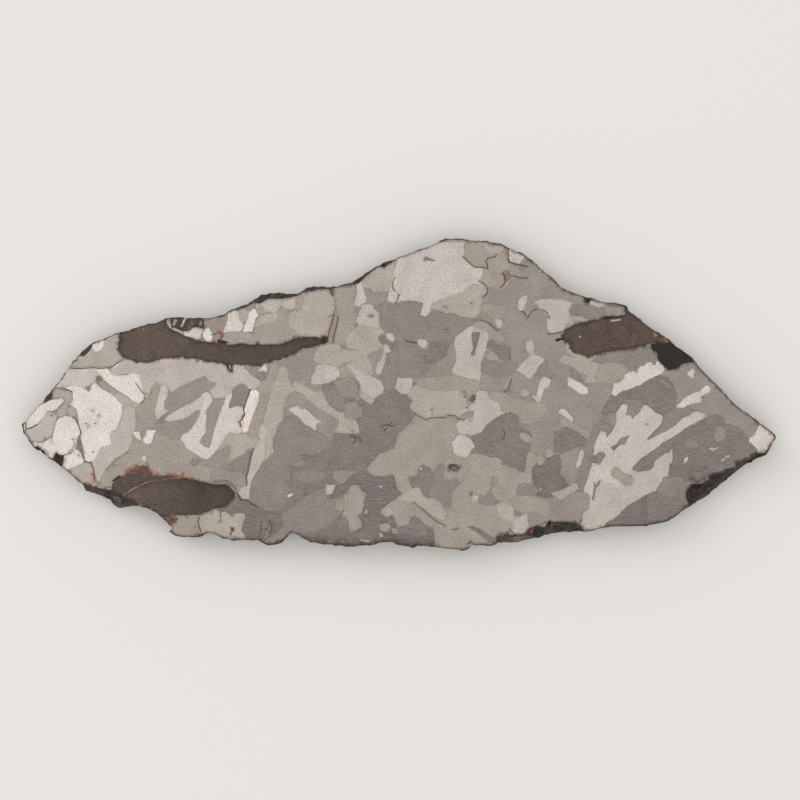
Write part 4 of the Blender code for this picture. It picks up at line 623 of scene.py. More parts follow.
dark -29,-19 -20,-19.7 -18,-19.3 -12,-18.6 -9.5,-18.8 -8.5,-20 -11,-20.3 -13,-22 -14.5,-23.5 -16,-23.6
  -18,-23 -24,-21.8 -28,-23
grey -28,-20.5 -27.7,-22 -25.4,-23 -22.8,-23.9 -20.5,-22.8 -19,-21.5 -20,-20.3 -23,-20
mid -17.3,-20.3 -17,-22.3 -15.3,-23.7 -14,-23.3 -12.3,-21.5 -11,-20.4 -14,-20
dark -27.8,-22.3 -25.4,-23.2 -22.8,-24 -20.5,-22.9 -20,-24 -21,-25 -23.5,-26.5 -26.5,-28.5 -28.5,-30
  -30.5,-29.8 -29,-27.5 -27.6,-26.5 -28.2,-24.5
white -29.4,-27.2 -28.9,-26.6 -28,-26.3 -27.8,-26.8 -28.8,-27
bright -100.6,-7.6 -99.3,-6.3 -98.5,-6.6 -98.7,-8 -98.6,-9.2 -98.8,-10.2 -100.6,-8.6
cream 31,-32.8 32.2,-33 33,-32 34.3,-31.6 34.2,-33 34.7,-34.4 34.6,-35.8 33.6,-36.3 33.2,-36.9 31.4,-37
  30.2,-36.3 30.9,-35.4 30.6,-34
"""

# Sulphide nodules: a name, then the outline as x,y in millimetres
NODULES = """
long -73.3,17.6 -73.8,15.2 -73.4,14.6 -74,13.6 -73.9,12.6 -74.4,11.9 -73.8,11.1 -73.1,10.1 -72,9.5 -71,9.2
  -70,8.9 -69.2,8.5 -67.5,8.5 -66.2,8.6 -65,8.7 -63.5,9.2 -62.3,9.6 -60.5,9.6 -59.5,9.4 -58.5,9.9 -57,9.9
  -56.3,9.4 -54.5,9.6 -52.6,9.3 -51.2,8.9 -49.5,8.6 -47.5,8.3 -45.5,8.1 -43.5,8 -41,7.9 -39,7.9 -37.5,7.7
  -36.5,7.5 -35.5,8.2 -34,8.6 -32.8,9.2 -31,9.2 -30,9.8 -28.5,10.4 -26.5,11.5 -25,12.3 -24,12.5 -23.3,12.3
  -22,12.9 -20.5,13.3 -19.7,13.4 -18.7,13.8 -18.5,14.3 -19,15.2 -19.6,15.4 -20.5,14.6 -21.5,15.1 -23,15.2
  -25,15.1 -27,14.7 -28.5,14.2 -30,13.7 -31.5,13.3 -33.5,13.1 -36,13.2 -38,13.2 -40,13.1 -41.5,13.5 -44,13.2
  -45.2,13.2 -46,13.9 -48,13.5 -49.5,13.7 -51.5,14 -53.5,14.3 -54.5,14.8 -56.2,15.3 -57.5,16 -59,16.7
  -60.2,17.3 -61.1,18.3 -61.4,19 -61,21.5 -67,20.5
lower -72.7,-27.4 -71.9,-26.1 -70.4,-25.2 -68.3,-24.3 -66.5,-23.4 -64,-22.8 -60.6,-22.4 -57.6,-22.4
  -54.5,-22.6 -51.9,-23.2 -49.4,-23.8 -47.3,-24.1 -45.8,-23.7 -44.5,-24.6 -43.8,-25.6 -43.3,-26.4
  -43.6,-27.6 -44.5,-28.7 -46,-29.7 -48.1,-30.2 -50.6,-31.1 -52.4,-31.9 -55,-31.9 -58.6,-32 -60.6,-32.6
  -62.4,-32.5 -63.7,-31.5 -65.3,-30.5 -67.3,-29.6 -69.1,-28.8 -70.6,-27.8 -71.7,-27.5
broken 43.5,15.3 44.5,17 46,18 48,18.8 50,19.2 51.5,19.6 53.5,20 55,20.5 56.5,20.8 58.5,20.6 59.5,20.9
  60.3,21.3 60.1,22.8 61,25 68,20 74,15.5 72.4,14.5 70,13.9 68.5,13.6 67,13.6 65.5,13.1 63.5,12.7 62,12.3
  60.5,11.9 58.5,11.7 56.5,11.5 54.5,11.2 53,10.9 52,10.6 51.2,10 50.3,9.7 49.5,10.3 48,10.7 46.5,11.3
  45.6,12.2 45.7,13 45.3,13.6 44.8,14 43.8,14.3
"""

# Patch of black crust beside the broken nodule, drawn in the same way
CRUSTS = """
patch 67,13.5 68,13.3 70,13.6 72.5,14 75,14.5 79.5,10.2 78,9.5 78,8.6 76.5,8.3 75.5,8.1 75,7.5 74.3,6.9
  73,6.6 71.5,6.7 70.8,6.9 70.3,7.8 69.5,8.6 69,9.5 69,10.2 68.6,11.2 67.5,11.8 67.2,12.8
"""

# Cracks and inclusion lines: half the width in millimetres, then the line as x,y in millimetres
CRACKS = """
0.2 -98.4,-6.5 -98.6,-8 -98.5,-9 -98.6,-9.8
0.16 -98,-9.2 -97,-8.8 -96.2,-8.4 -95.3,-8.1
0.16 -86.3,-5.9 -85.3,-6.8 -84.6,-8 -84.1,-9.5 -84,-10.5 -84.3,-11
0.16 -85.8,-12.7 -85.7,-13.5 -86.3,-14.5 -87.3,-15.4
0.16 -83.7,-15.8 -83.3,-17 -82.8,-17.8 -81.8,-18.1 -81.3,-18.2 -81,-19 -80.6,-20 -80.6,-21 -80.2,-23
0.16 -87,6.9 -85.5,6.8 -83.5,6.8 -81.5,7 -80.5,7.1 -79.3,6.9 -77.3,7 -75.5,7.4 -74,8.5 -73.2,9.2
0.16 -90,1.6 -88.5,1.2 -87,1 -86.2,0.4
0.16 -69.3,2.8 -68.4,1.5 -67.3,0.2
0.26 -39,1.2 -39.3,0.3 -39.8,-1 -40.3,-2.5 -40.9,-3.8 -40.6,-5.5 -41.2,-6.5 -41.9,-7.3 -41.5,-8.5
0.24 -38.1,-14.3 -38.9,-16.5 -39.3,-18.5 -39.6,-20.5 -40.2,-22.2 -39.9,-23.8
0.22 -44,-25.2 -43.3,-26.2 -42.4,-26.3 -42,-27 -41.6,-27.8 -40.8,-28 -39.9,-28 -39.2,-28.8 -37,-29.7
0.18 -52.5,-32.5 -52.9,-33.5 -52.6,-35.2 -52.1,-36.3
0.18 -44.3,-37.2 -43.9,-36.4 -43.6,-35.5
0.2 37,22.6 35.8,22.2 34.8,20.8 34.2,20.2
0.2 32.5,22 33.5,21.8 34,20.8
0.18 38.3,22.5 39.7,21.5 40,20.8
0.12 4.5,-5 6,-6 7.3,-6.7 9,-6.2 12.5,-6.1 13.2,-5.5 15.3,-5.6 16,-6.4 17.5,-7
0.2 2,14.2 3.5,13.9 5,13.6
0.16 22,19.6 24,19 25.3,17.8 26.6,16.9
0.24 28,32 28.6,30 28,29 27.3,28.3
0.2 30,31.4 31.5,31.2 33,30.7 34.5,30.8
0.22 0.2,26 0.1,25.2 -0.5,24.3
0.2 -0.7,31 -1.4,29.5 -1.3,28.2 -0.9,27.7
0.14 -18.6,15 -18,17.5 -17.2,20 -16.8,21.2 -18.1,20.6
0.14 -17.2,13.5 -17,15.5 -16.4,17.5 -15.7,20.5
0.16 -19.6,15.4 -18.9,14.6 -18.2,14.9
0.24 29.6,35 32,34.3 34.4,33.9
0.2 29.4,38.2 29.3,36.5 29.2,35.8 29.6,35
0.18 26.2,37.2 25.9,36.5 25,36.3 23.7,36.1 23.4,35.3 23.7,34.4 24,33.6
0.18 17.3,36.6 18.7,35 20.4,33.7 22.5,33.7 23.9,33.4
0.16 21.5,30.1 23,29.2 23.9,28 23.8,26.8 22.9,26 22.4,25.5
0.18 43.5,16.5 42,16.2 40,16
0.18 55.5,19.8 56,17.5 56.8,15.5 57.8,14.2 59,13.4
0.16 59.5,19.3 60.8,18.2 61.4,17 61.8,15.7
0.4 56.5,20.4 57.5,20.3 59,20.4
0.2 -75.6,-22.9 -74.5,-22.1 -73.7,-21.6
0.16 -49,15.8 -48,15.9 -47.5,16.4 -46.8,16.4 -46.2,15.9 -46.3,15.2 -46.7,14.6
0.16 14.6,-35.9 16,-35.6
0.16 19.5,-39 18.5,-39.7
0.14 -47,-31 -47,-33
0.09 -12,-9.5 -11.6,-11 -11,-12.5 -11.4,-13.2
0.09 -12.6,-11.2 -11.5,-11.4 -10.2,-11.6 -9.9,-12.4
0.09 -4,-8.4 -2.6,-8.1 -1.2,-8.6 -0.4,-8.1
0.09 -3,-9.2 -2,-8.4 -1.6,-7.6
0.12 27.4,-12.3 28.2,-11.6 28.4,-10.4 28.1,-9.6
0.09 -35.4,-37.4 -34.9,-36 -34.2,-35 -34.1,-34
0.09 -36,-36 -35,-35.6 -34,-36.4
0.12 -15.6,-33 -14.9,-32.2 -14.6,-31.2
0.14 -44,-36.4 -44.4,-38.6
0.16 76.9,-24 78,-24.3 79.2,-23.4 80.6,-22.8 81.4,-22.2
0.12 79.3,-23.4 78.8,-22.6 77.6,-22.3
0.14 82.4,-21.8 83.8,-21.2 85.6,-21 87.2,-20.2 89.2,-19.9
0.14 89.8,-18.4 91.2,-17.9 92.4,-17.2
0.28 92.4,-17.3 93.1,-17.6
0.14 93.9,-16.4 94.8,-15.6 95.6,-15.8
0.16 29.8,-35.8 30.8,-36.9 32.6,-37.1 34.2,-36.6 34.8,-35.4 36,-34.8
0.14 25.8,-38.6 27.4,-37.4 29.2,-37.2
0.14 38.2,-34.6 38.8,-34.1 40.2,-33.6
0.18 46.4,-34 47.6,-34.4 48.6,-34 48.7,-33.4
0.16 18.8,-39.7 19.4,-39.3 20.4,-39.6
0.1 -48.8,-23.1 -47,-23.2 -45.6,-22.9 -44.5,-23.7 -43.4,-24.6 -42.9,-25.7
0.1 -43.1,-28 -44.3,-29.3 -45.9,-30.3 -47.8,-30.8
0.1 -36.6,-37.6 -36,-36 -36.4,-34.8 -35.8,-33.6
0.1 -33.6,-37 -33.4,-35.4 -33.8,-33.8
0.12 -83.2,-23.6 -81.6,-24.3 -79.8,-24.2 -78.4,-24.9 -76.6,-24.6
"""

# Small pockets like those of the nodules, drawn in the same way
POCKETS = """
upper -60.2,20.2 -60.1,18.5 -59.5,17.7 -58.5,17.6 -57.5,16.9 -56.3,16.7 -55,17 -54.2,17.7 -53,18.1
  -52.2,17.6 -51.5,17.9 -51.3,18.8 -51.6,19.7 -52.2,20.8 -56,21.5
lone 13.7,-19 14.3,-18.6 15.2,-18.7 15.8,-19.1 16.6,-19.4 15.8,-19.9 14.8,-20.3 13.9,-19.6
small -45.3,8 -44.2,8 -43.8,6.1 -44.7,6
"""

# Small round pits in the face, as x,y in millimetres
PITS = (
    "19.5,24.2 12.3,23.2 12.8,17.2 17.5,0.7 17.6,-0.7 18.2,-3.5 8.8,-4.1 19.1,-7 27.7,-18.6 66,-8 42,14.5 "
    "-86.3,-12 -84.7,-16.1 -80.9,-15.4 -82.7,-7.8 -82.2,-8.6 -80.3,-7.7 -81,-4.4 -79.6,-5.7 -91.9,-5.6 "
    "-24.5,-26.7"
)

# Parts of the nodules, and chips, told apart by their tone, drawn like the crystals and lying over them
PATCHES = """
mid -72.9,-27.4 -72.1,-26 -70.5,-25 -68.4,-24.1 -66.6,-23.2 -64,-22.6 -60.6,-22.2 -57.6,-22.2 -57.6,-22.45
  -60.6,-22.5 -64,-22.9 -66.5,-23.55 -68.3,-24.45 -70.3,-25.35 -71.8,-26.3 -72.5,-27.5
mid -60,-32.1 -57,-31.9 -54,-31.8 -52.4,-31.9 -52.4,-32.2 -55,-32.2 -60,-32.4
stain -44.5,-35.1 -43.5,-35.1 -43.2,-36.1 -44.1,-36.6
oxide -61.8,-33 -60,-32.8 -58.6,-32.6 -58.1,-33 -59.2,-34.2 -61.2,-34.6
stain -18.4,28.6 -17.9,26.6 -17.3,25.6 -16.8,26.4 -17,28.6
cream -57.6,18 -57.2,17.9 -56.1,20 -56.6,20.2
black -75.9,-23.2 -75.2,-22.5 -74.5,-21.9 -73.7,-21.4 -73.5,-21.8 -74.3,-22.4 -75.3,-23.1
black 44.2,14.4 43.2,14.4 42.2,13.9 41.6,14.5 42.4,14.9 43.6,15
black 54.5,20.1 56.5,20.7 59,20.8 59.7,20.4 58,20.1 56.5,20 55,19.7
pale 45,13.2 45.4,12 46.3,11 48,10.3 49.4,9.9 50.3,9.3 51.6,9.6 52.6,10.2 52.3,9.6 51,8.9 50,8.8 49,9.4
  47.8,9.8 46,10.5 45,11.6 44.6,12.8
rusty -18.7,14.6 -18.2,17 -17.6,19 -17.1,21.4 -16.6,21.3 -17,19 -17.5,17 -17.7,15
rusty -17.4,13.4 -17.3,15.5 -16.9,17.5 -16.2,19.5 -15.9,20.8 -15.4,20.6 -15.8,18.5 -16.4,16 -16.7,13.8
black -20.2,14.4 -19.4,15.4 -18.9,15.2 -18.4,15.6 -18.7,14.7 -19.1,14.2 -18.9,13.6 -19.7,13.8 -20.4,13.1
light -4.8,-24.2 -4.2,-24.3 -4.3,-24.7 -4.8,-24.6
mid -59.9,18.5 -59.2,18 -58.5,19.7 -59.2,20
ash -55.8,17.4 -54.9,17.3 -53.9,19 -54.7,20.2
mid -52.7,18.2 -52,18.3 -51.8,19.2 -52.5,19.6
pale -44.75,7.7 -44.3,7.75 -44.15,6.8 -44.6,6.7
umber -47.6,14.6 -45.6,14.2 -44.5,13.6 -46.4,13.4 -48,13.7
grey 14.3,-18.9 15.5,-19.6 15.6,-19.9 14.2,-19.2
pale 56.5,19.2 59,19.6 59.1,20 56.5,19.7
rusty 67.6,16.2 68.3,16.3 69,15.6 68.3,15.2
rusty 70,14.5 71,14.7 72.2,14.1 71,13.8
light 5.7,-19.4 6.3,-19.5 6.2,-19.9 5.8,-19.9
beige 48,15.4 48.6,15.6 48.7,15.1 48.2,15
pale 26.5,-37.6 28,-37.4 30,-37.9 29.4,-38.8 27,-39
grey 31,-37.4 33,-37.2 34.4,-37.8 33.5,-39 31.5,-38.8
light -9.8,-38.3 -7.5,-38.9 -7.6,-39.2 -10,-38.8
rusty -36.1,-35.2 -35,-34.2 -34,-34.6 -33.8,-35.8 -34.4,-36.9 -35.5,-37.2
"""

# Lighter and darker parts of the rough rind as seen from above, drawn in the same way
RIND_PATCHES = """
umber 80.5,-25.5 83,-24.6 85.5,-23.2 87.5,-22.4 86.5,-24 84,-25.8 82,-27 80.8,-27.4
black 76.6,-24.5 79.5,-23.5 80.8,-24.6 80,-26.4 78.4,-27.4 77.2,-26.4
black 82.6,-22 85,-21.1 87.8,-20.3 87.2,-21.6 84.8,-22.4 83.4,-22.9
umber 87.5,-20.8 90,-19.2 92,-17.9 90.5,-20 88.6,-21.2
black 92,-18 94.4,-16.6 96,-16 95.4,-17 93,-18.2
oxide 26.6,-38.2 29,-37.7 31,-38 33,-37.6 35.5,-37.6 36,-38.6 33,-39.4 28,-39.6
ash 31,-37.6 33,-37.3 35.2,-37.6 35.6,-38.6 33.6,-39.3 31.4,-38.9
oxide 28.4,-38 30.2,-37.9 30.6,-39 28.8,-39.2
black 35.8,-35 38.6,-34.8 39,-37 37,-38 35.2,-37.2
umber 39.6,-34.6 42,-34 46,-34.6 47.2,-35.4 46,-36.6 42,-37 39.8,-36.6
black 41.2,-34.9 43.4,-35 44.8,-35.8 43,-36.4 41.4,-36
black 47.2,-34.2 49.2,-34.4 48.9,-36.2 47,-36.2
umber -83.4,-24.8 -80,-25.3 -77.5,-25.7 -76.6,-27 -79,-27 -82.4,-26.4
ash -76,-27 -74.6,-26.9 -73.2,-27.9 -73.8,-28.8 -75.4,-28.2
oxide -76,-28.6 -74,-29 -72.2,-29.5 -73.4,-30.2 -75.6,-30
umber -71.9,-28.2 -70.2,-28.8 -69,-29.6 -71.4,-29.8
"""

# Rusty places: centre x and y, radius, all in millimetres
RUST_SPOTS = (
    (-69.5, -19.9, 1.6), (-67.0, -20.3, 1.3), (-72.5, -22.0, 1.2), (-60.4, -33.6, 1.8), (-92.0, -1.0, 0.8),
    (99.0, -13.8, 1.2), (35.4, -36.1, 1.1), (-3.2, -38.8, 1.0), (-93.2, -11.8, 0.4), (27.5, -37.3, 0.9),
    (70.5, 14.6, 0.9), (-37.5, -38.9, 1.0), (-67.1, 16.9, 0.6), (-63.2, 18.2, 0.6), (-69.0, 14.2, 0.5),
    (-73.2, 12.2, 0.5), (8.5, -40.0, 1.0), (-66.5, -18.6, 0.8), (-61.5, -20.9, 0.7), (-56.8, -21.4, 0.7),
)

# Painted shade, dark and soft, along the lower edge: reach to each side, then the line as x,y in millimetres
PAINTED_LOWER_EDGE_SHADES = """
3.2 -25,-38.7 -22,-39.3 -18,-40 -13,-40.3 -8,-40.2 -5,-39.6 -2,-39.3 1,-40.2 4,-40.8 9,-40.4
2.2 -41,-38.9 -38,-39 -36,-39.8
1.3 -50,-37.2 -47,-38.4 -44,-38.8 -41,-38.8
"""

# Rusty lines: reach to each side, then the line as x,y in millimetres
RUST_LINES = """
1.0 -72,-20.4 -70.5,-19.5 -68.5,-19.1 -66.5,-19.6 -65.3,-20.6 -63.5,-21.2
0.7 -63.5,-21.4 -61,-21.6 -58.5,-21.7 -56,-21.9 -54,-22.3
0.4 -47.5,16.4 -46.2,15.9 -46.7,14.6
0.4 -40.9,-5.5 -41.2,-6.5 -41.9,-7.3 -41.5,-8.5
0.4 -39.3,-18.5 -39.6,-20.5 -40.2,-22.2
0.4 -80.6,-21 -80.2,-23
"""

# Tones of the sulphide, the crust, the rind and the marks, out of 255. A nodule or pocket changes from its
# first tone at the left to its second at the right.
SULPHIDE_TONES = (((95, 82, 74), (80, 67, 60)), ((100, 86, 77), (74, 63, 56)), ((89, 75, 67), (92, 77, 69)))
POCKET_TONES = (((70, 61, 55), (78, 70, 64)), ((104, 95, 89), (120, 110, 104)), ((92, 84, 78), (92, 84, 78)))
CRUST_TONE = (42, 33, 30)
RIND_TONE = (50, 42, 37)
RIND_CHIP_TONE = (86, 75, 66)
CRACK_TONE = (80, 64, 53)
# dark edges of the nodules, and painted shade along the face's edge
EDGE_AND_SHADE_TONE = (50, 42, 37)
RUST_DARK_TONE = (112, 74, 52)
RUST_BRIGHT_TONE = (184, 110, 62)
BACK_TONE = (150, 143, 137)

# Floor, lights and camera, in metres, and the picture in millimetres
FLOOR_TONE = (240, 238, 235)
FLOOR_SIZE = 6.0
FLOOR_ROUGHNESS = 0.9
OVERHEAD_PLACE = (0.0, 0.0, 1.4)
OVERHEAD_SIZE = 1.6
OVERHEAD_POWER = 3.0
SIDE_PLACE = (-1.1, 0.8, 0.9)
SIDE_SIZE = 0.9
SIDE_POWER = 4.6
WORLD_COLOUR = (1.0, 0.98, 0.96, 1.0)
WORLD_STRENGTH = 0.73
CAMERA_LENS = 100.0
CAMERA_SENSOR = 36.0
PICTURE_WIDTH = 212.0
PICTURE_CENTRE = (0.6, -1.5)

# Layout of the finish's own map: the face above the back, the rim in three strips above them
MAP_LENGTH = 202.0        # millimetres laid across the map, a little over the piece's length
MAP_SCALE = 0.97 / MAP_LENGTH
MAP_LEFT = 0.015
MAP_MIDDLE = 0.5
MAP_FACE_LEVEL = 0.215
MAP_BACK_LEVEL = 0.625
MAP_STRIPS = 3
MAP_STRIP_LEVEL = 0.83
MAP_STRIP_STEP = 0.056
MAP_STRIP_HEIGHT = 0.044
MAP_FLAT_SLOPE = 0.6      # parts of the rim that lie flatter than this go with the face or the back
MAP_SMOOTHINGS = 60
NO_LENGTH = 1e-9          # keeps a triangle without area from dividing by zero


def linear(colour):
    """A colour given out of 255, as the shader's linear red, green and blue."""
    share = [c / 255 for c in colour]
    return [c / 12.92 if c <= 0.04045 else ((c + 0.055) / 1.055) ** 2.4 for c in share]


def parsed(text):
    """Points written as x,y in millimetres."""
    return np.array([[float(n) for n in pair.split(",")] for pair in text.split()])


def rows_of(table):
    """The word that starts each row of a table, and the points that follow it."""
    rows = []
    for word in table.split():
        if "," in word:
            rows[-1][1].append(word)
        else:
            rows.append((word, []))
    return [(word, parsed(" ".join(points))) for word, points in rows]


def dense(points, step, closed=True):
    """The line with points added, so that no part is longer than the step."""
    ends = np.roll(points, -1, axis=0) if closed else points[1:]
    result = []
    for start, end in zip(points, ends):
        parts = max(1, math.ceil(np.linalg.norm(end - start) / step))
        result += [start + (end - start) * i / parts for i in range(parts)]
    if not closed:
        result.append(points[-1])
    return np.array(result)


def wavering(points, size=WOBBLE_SIZE, amount=WOBBLE):
    """The points moved a little, the same for every line that passes the same place."""
    moved = [[fine_noise((x, y, 0), size, seed) for seed in WOBBLE_SEEDS] for x, y in points]
    return points + np.array(moved) * amount


def inside(points, loop):
    """Which of the points lie inside the closed loop."""
    result = np.zeros(len(points), bool)
    low = loop.min(axis=0)
    high = loop.max(axis=0)
    near = np.nonzero(((points >= low) & (points <= high)).all(axis=1))[0]
    if not len(near):
        return result
    x = points[near, 0][:, None]
    y = points[near, 1][:, None]
    x1, y1 = loop.T
    x2, y2 = np.roll(loop, -1, axis=0).T
    crosses = (y1 > y) != (y2 > y)
    with np.errstate(divide="ignore", invalid="ignore"):
        at = x1 + (y - y1) * (x2 - x1) / (y2 - y1)
    result[near] = (crosses & (x < at)).sum(axis=1) % 2 == 1
    return result


def tree_of(points):
    """A search tree of flat points in millimetres."""
    tree = KDTree(len(points))
    for i, (x, y) in enumerate(points):
        tree.insert((x, y, 0.0), i)
    tree.balance()
    return tree


def gaps(tree, points):
    """Distance from each flat point to the nearest point of the tree."""
    return np.array([tree.find((x, y, 0.0))[2] for x, y in points])


def fine_noise(point, size, seed=0.0):
    """Smooth noise between -1 and 1 at a place."""
    return noise.noise(Vector((point[0] / size, point[1] / size, point[2] / size + seed)))


def is_flat(face):
    """Whether a face of the part belongs to the etched face or to the back cut."""
    heights = [v.co.z for v in face.verts]
    return min(heights) > FACE_LEVEL or max(heights) < BACK_LEVEL


def open_plate(node):
    """A finer copy of the part without its etched face and back, both open, in millimetres."""
    mesh = bmesh.new()
    mesh.from_mesh(node.data)
    bmesh.ops.scale(mesh, vec=(1 / MM,) * 3, verts=mesh.verts)
    bmesh.ops.remove_doubles(mesh, verts=mesh.verts, dist=WELD)
    bmesh.ops.delete(mesh, geom=[f for f in mesh.faces if is_flat(f)], context="FACES")
    bmesh.ops.triangulate(mesh, faces=mesh.faces)
    for _ in range(RIND_CUTS):
        long = [e for e in mesh.edges if e.calc_length() > RIND_STEP]
        bmesh.ops.subdivide_edges(mesh, edges=long, cuts=1)
        bmesh.ops.triangulate(mesh, faces=[f for f in mesh.faces if len(f.verts) > 3])
    corners = {}
    for face in mesh.faces:
        corners.setdefault(frozenset(face.verts), []).append(face)
    doubled = [face for faces in corners.values() if len(faces) > 1 for face in faces]
    bmesh.ops.delete(mesh, geom=doubled, context="FACES")
    return mesh


def roughen(mesh, box):
    """Softens the rim's flats and gives the rind its lumps and pits, inside the part's box in metres."""
    free = [v for v in mesh.verts if not v.is_boundary]
    bmesh.ops.smooth_vert(mesh, verts=free, factor=RIND_SMOOTHING,
                          use_axis_x=True, use_axis_y=True, use_axis_z=True)
    mesh.normal_update()
    for v in free:
        lumps = sum(share * fine_noise(v.co, size, seed) for size, seed, share in RIND_LUMPS)
        v.co -= v.normal * RIND_ROUGHNESS * (RIND_WEAR + lumps)
        for axis in range(3):
            v.co[axis] = min(max(v.co[axis], box[0][axis] / MM), box[1][axis] / MM)


def loops_of(mesh, level):
    """Open loops of the mesh near the height, each a list of points in order."""
    open_edges = [e for e in mesh.edges if e.is_boundary and abs(e.verts[0].co.z - level) < LEVEL_REACH]
    left = set(open_edges)
    loops = []
    for edge in open_edges:
        if edge not in left:
            continue
        left.discard(edge)
        start, now = edge.verts
        loop = [start, now]
        while now != start:
            edge = next(e for e in now.link_edges if e in left)
            left.discard(edge)
            now = edge.other_vert(now)
            if now != start:
                loop.append(now)
        loops.append(loop)
    return loops


def line_edges(count, start, closed=True):
    """Pairs of neighbours along a line of points that begins at an index."""
    last = count if closed else count - 1
    return [(start + i, start + (i + 1) % count) for i in range(last)]


def fill_points(outline, taken, step):
    """Points on an uneven grid inside the outline, clear of the points already taken."""
    low = outline.min(axis=0)
    high = outline.max(axis=0)
    grid = [(x, y) for x in np.arange(low[0], high[0], step) for y in np.arange(low[1], high[1], step)]
    grid = wavering(np.array(grid), UNEVEN_SIZE, UNEVEN_SHARE * step)
    grid = grid[inside(grid, outline)]
    return grid[gaps(tree_of(taken), grid) > CLEAR_OF_BORDER]


def edge_and_lines(edge, lines):
    """Points and pairs of neighbours of the edge, and of the parts of the lines that lie inside it."""
    points = [edge]
    pairs = line_edges(len(edge), 0)
    count = len(edge)
    edge_tree = tree_of(edge)
    for line, closed in lines:
        keep = inside(line, edge) & (gaps(edge_tree, line) > EDGE_MARGIN)
        kept = [(a, b) for a, b in line_edges(len(line), 0, closed) if keep[a] and keep[b]]
        used = sorted({i for pair in kept for i in pair})
        place = {i: count + n for n, i in enumerate(used)}
        pairs += [(place[a], place[b]) for a, b in kept]
        if used:
            points.append(line[used])
            count += len(used)
    return np.concatenate(points), pairs


def sheet(loop, lines, step):
    """Flat triangles that fill the loop and follow the lines. Gives the points, the triangles and, for each
    point, its number among the points that went in, where the loop's own come first."""
    edge = np.array([(v.co.x, v.co.y) for v in loop])
    taken, pairs = edge_and_lines(edge, lines)
    everything = np.concatenate([taken, fill_points(edge, taken, step)])
    found = delaunay_2d_cdt([Vector(p) for p in everything.tolist()], pairs, [], 0, MERGE, True)
    places = np.array([tuple(p) for p in found[0]])
    triangles = np.array(found[2])
    triangles = triangles[inside(places[triangles].mean(axis=1), edge)]
    origin = [min(o) if o else -1 for o in found[3]]
    return places, triangles, origin


def outlines(table):
    """Tone and wavering outline of each crystal or patch."""
    return [(tone, wavering(dense(outline, BORDER_STEP))) for tone, outline in rows_of(table)]


def closeness(points, lines):
    """How close each flat point is to the lines, from 0 at each line's reach to 1 on the line."""
    result = np.zeros(len(points))
    for reach, line in lines:
        low = line.min(axis=0) - reach
        high = line.max(axis=0) + reach
        near = np.nonzero(((points > low) & (points < high)).all(axis=1))[0]
        if len(near):
            away = gaps(tree_of(line), points[near])
            result[near] = np.maximum(result[near], np.clip(1 - away / reach, 0, 1))
    return result


def near_lines(points, table, step):
    """How close each flat point is to the wavering lines of the table."""
    lines = [(float(reach), wavering(dense(line, step, closed=False))) for reach, line in rows_of(table)]
    return closeness(points, lines)


def near_rings(points, rings, reach):
    """How close each flat point is to the closed lines."""
    return closeness(points, [(reach, dense(ring, RING_STEP)) for ring in rings])


def rust_shares(points):
    """How rusty each flat point is, from 0 to 1."""
    result = near_lines(points, RUST_LINES, RUST_STEP)
    for x, y, radius in RUST_SPOTS:
        away = np.hypot(points[:, 0] - x, points[:, 1] - y)
        result = np.maximum(result, np.clip(RUST_EDGE - away / radius, 0, 1))
    return result


def openings():
    """The table of cracks, with each small pit as a very short one."""
    return CRACKS + " ".join(f"{PIT_RADIUS} {x},{y} {x + FINE_STEP},{y}" for x, y in parsed(PITS))


def pit_rings():
    """A ring round each small pit and another at its lip."""
    turns = np.linspace(0, 2 * math.pi, PIT_SIDES, endpoint=False)
    ring = np.stack([np.cos(turns), np.sin(turns)], axis=1) * PIT_RADIUS
    return [(centre + ring * size, True) for centre in wavering(parsed(PITS)) for size in PIT_RINGS]


def crack_lines():
    """Middle and both lips of each crack, with the rings of the pits."""
    lines = pit_rings()
    for half, points in rows_of(CRACKS):
        line = wavering(dense(points, LINE_STEP, closed=False))
        along = np.gradient(line, axis=0)
        along /= np.linalg.norm(along, axis=1)[:, None]
        across = np.stack([-along[:, 1], along[:, 0]], axis=1) * float(half)
        lines += [(line, False), (line + across, False), (line - across, False)]
    return lines


def nodule_borders():
    """Ragged outlines of the nodules, the small pockets and the crust, in this order."""
    rows = rows_of(NODULES + POCKETS + CRUSTS)
    return [wavering(dense(outline, NODULE_STEP), NODULE_WOBBLE_SIZE, NODULE_WOBBLE) for _, outline in rows]


def pocket_drop(points, borders):
    """How far below the face each flat point lies inside the etched-out pockets."""
    drop = np.zeros(len(points))
    for border in borders:
        within = np.nonzero(inside(points, border))[0]
        if len(within):
            away = gaps(tree_of(dense(border, RING_STEP)), points[within])
            share = np.clip(away / POCKET_SLOPE, 0, 1)
            lumps = [fine_noise((x, y, 0), POCKET_LUMP_SIZE, POCKET_LUMP_SEED) for x, y in points[within]]
            depth = POCKET_DEPTH + POCKET_LUMPS * np.array(lumps)
            drop[within] = depth * share * share * (3 - 2 * share)
    return drop


def face_height(points, borders):
    """Height of the etched face with its pockets, pits and cracks."""
    cracks = near_lines(points, openings(), FINE_STEP)
    return THICKNESS - pocket_drop(points, borders) - CRACK_DEPTH * cracks


def shaded_along(points, border, ends):
    """Colours that change from the left tone to the right one across the outline."""
    low, high = border[:, 0].min(), border[:, 0].max()
    share = ((points[:, 0] - low) / (high - low))[:, None]
    share = share * share * (3 - 2 * share)
    return np.array(linear(ends[0])) * (1 - share) + np.array(linear(ends[1])) * share


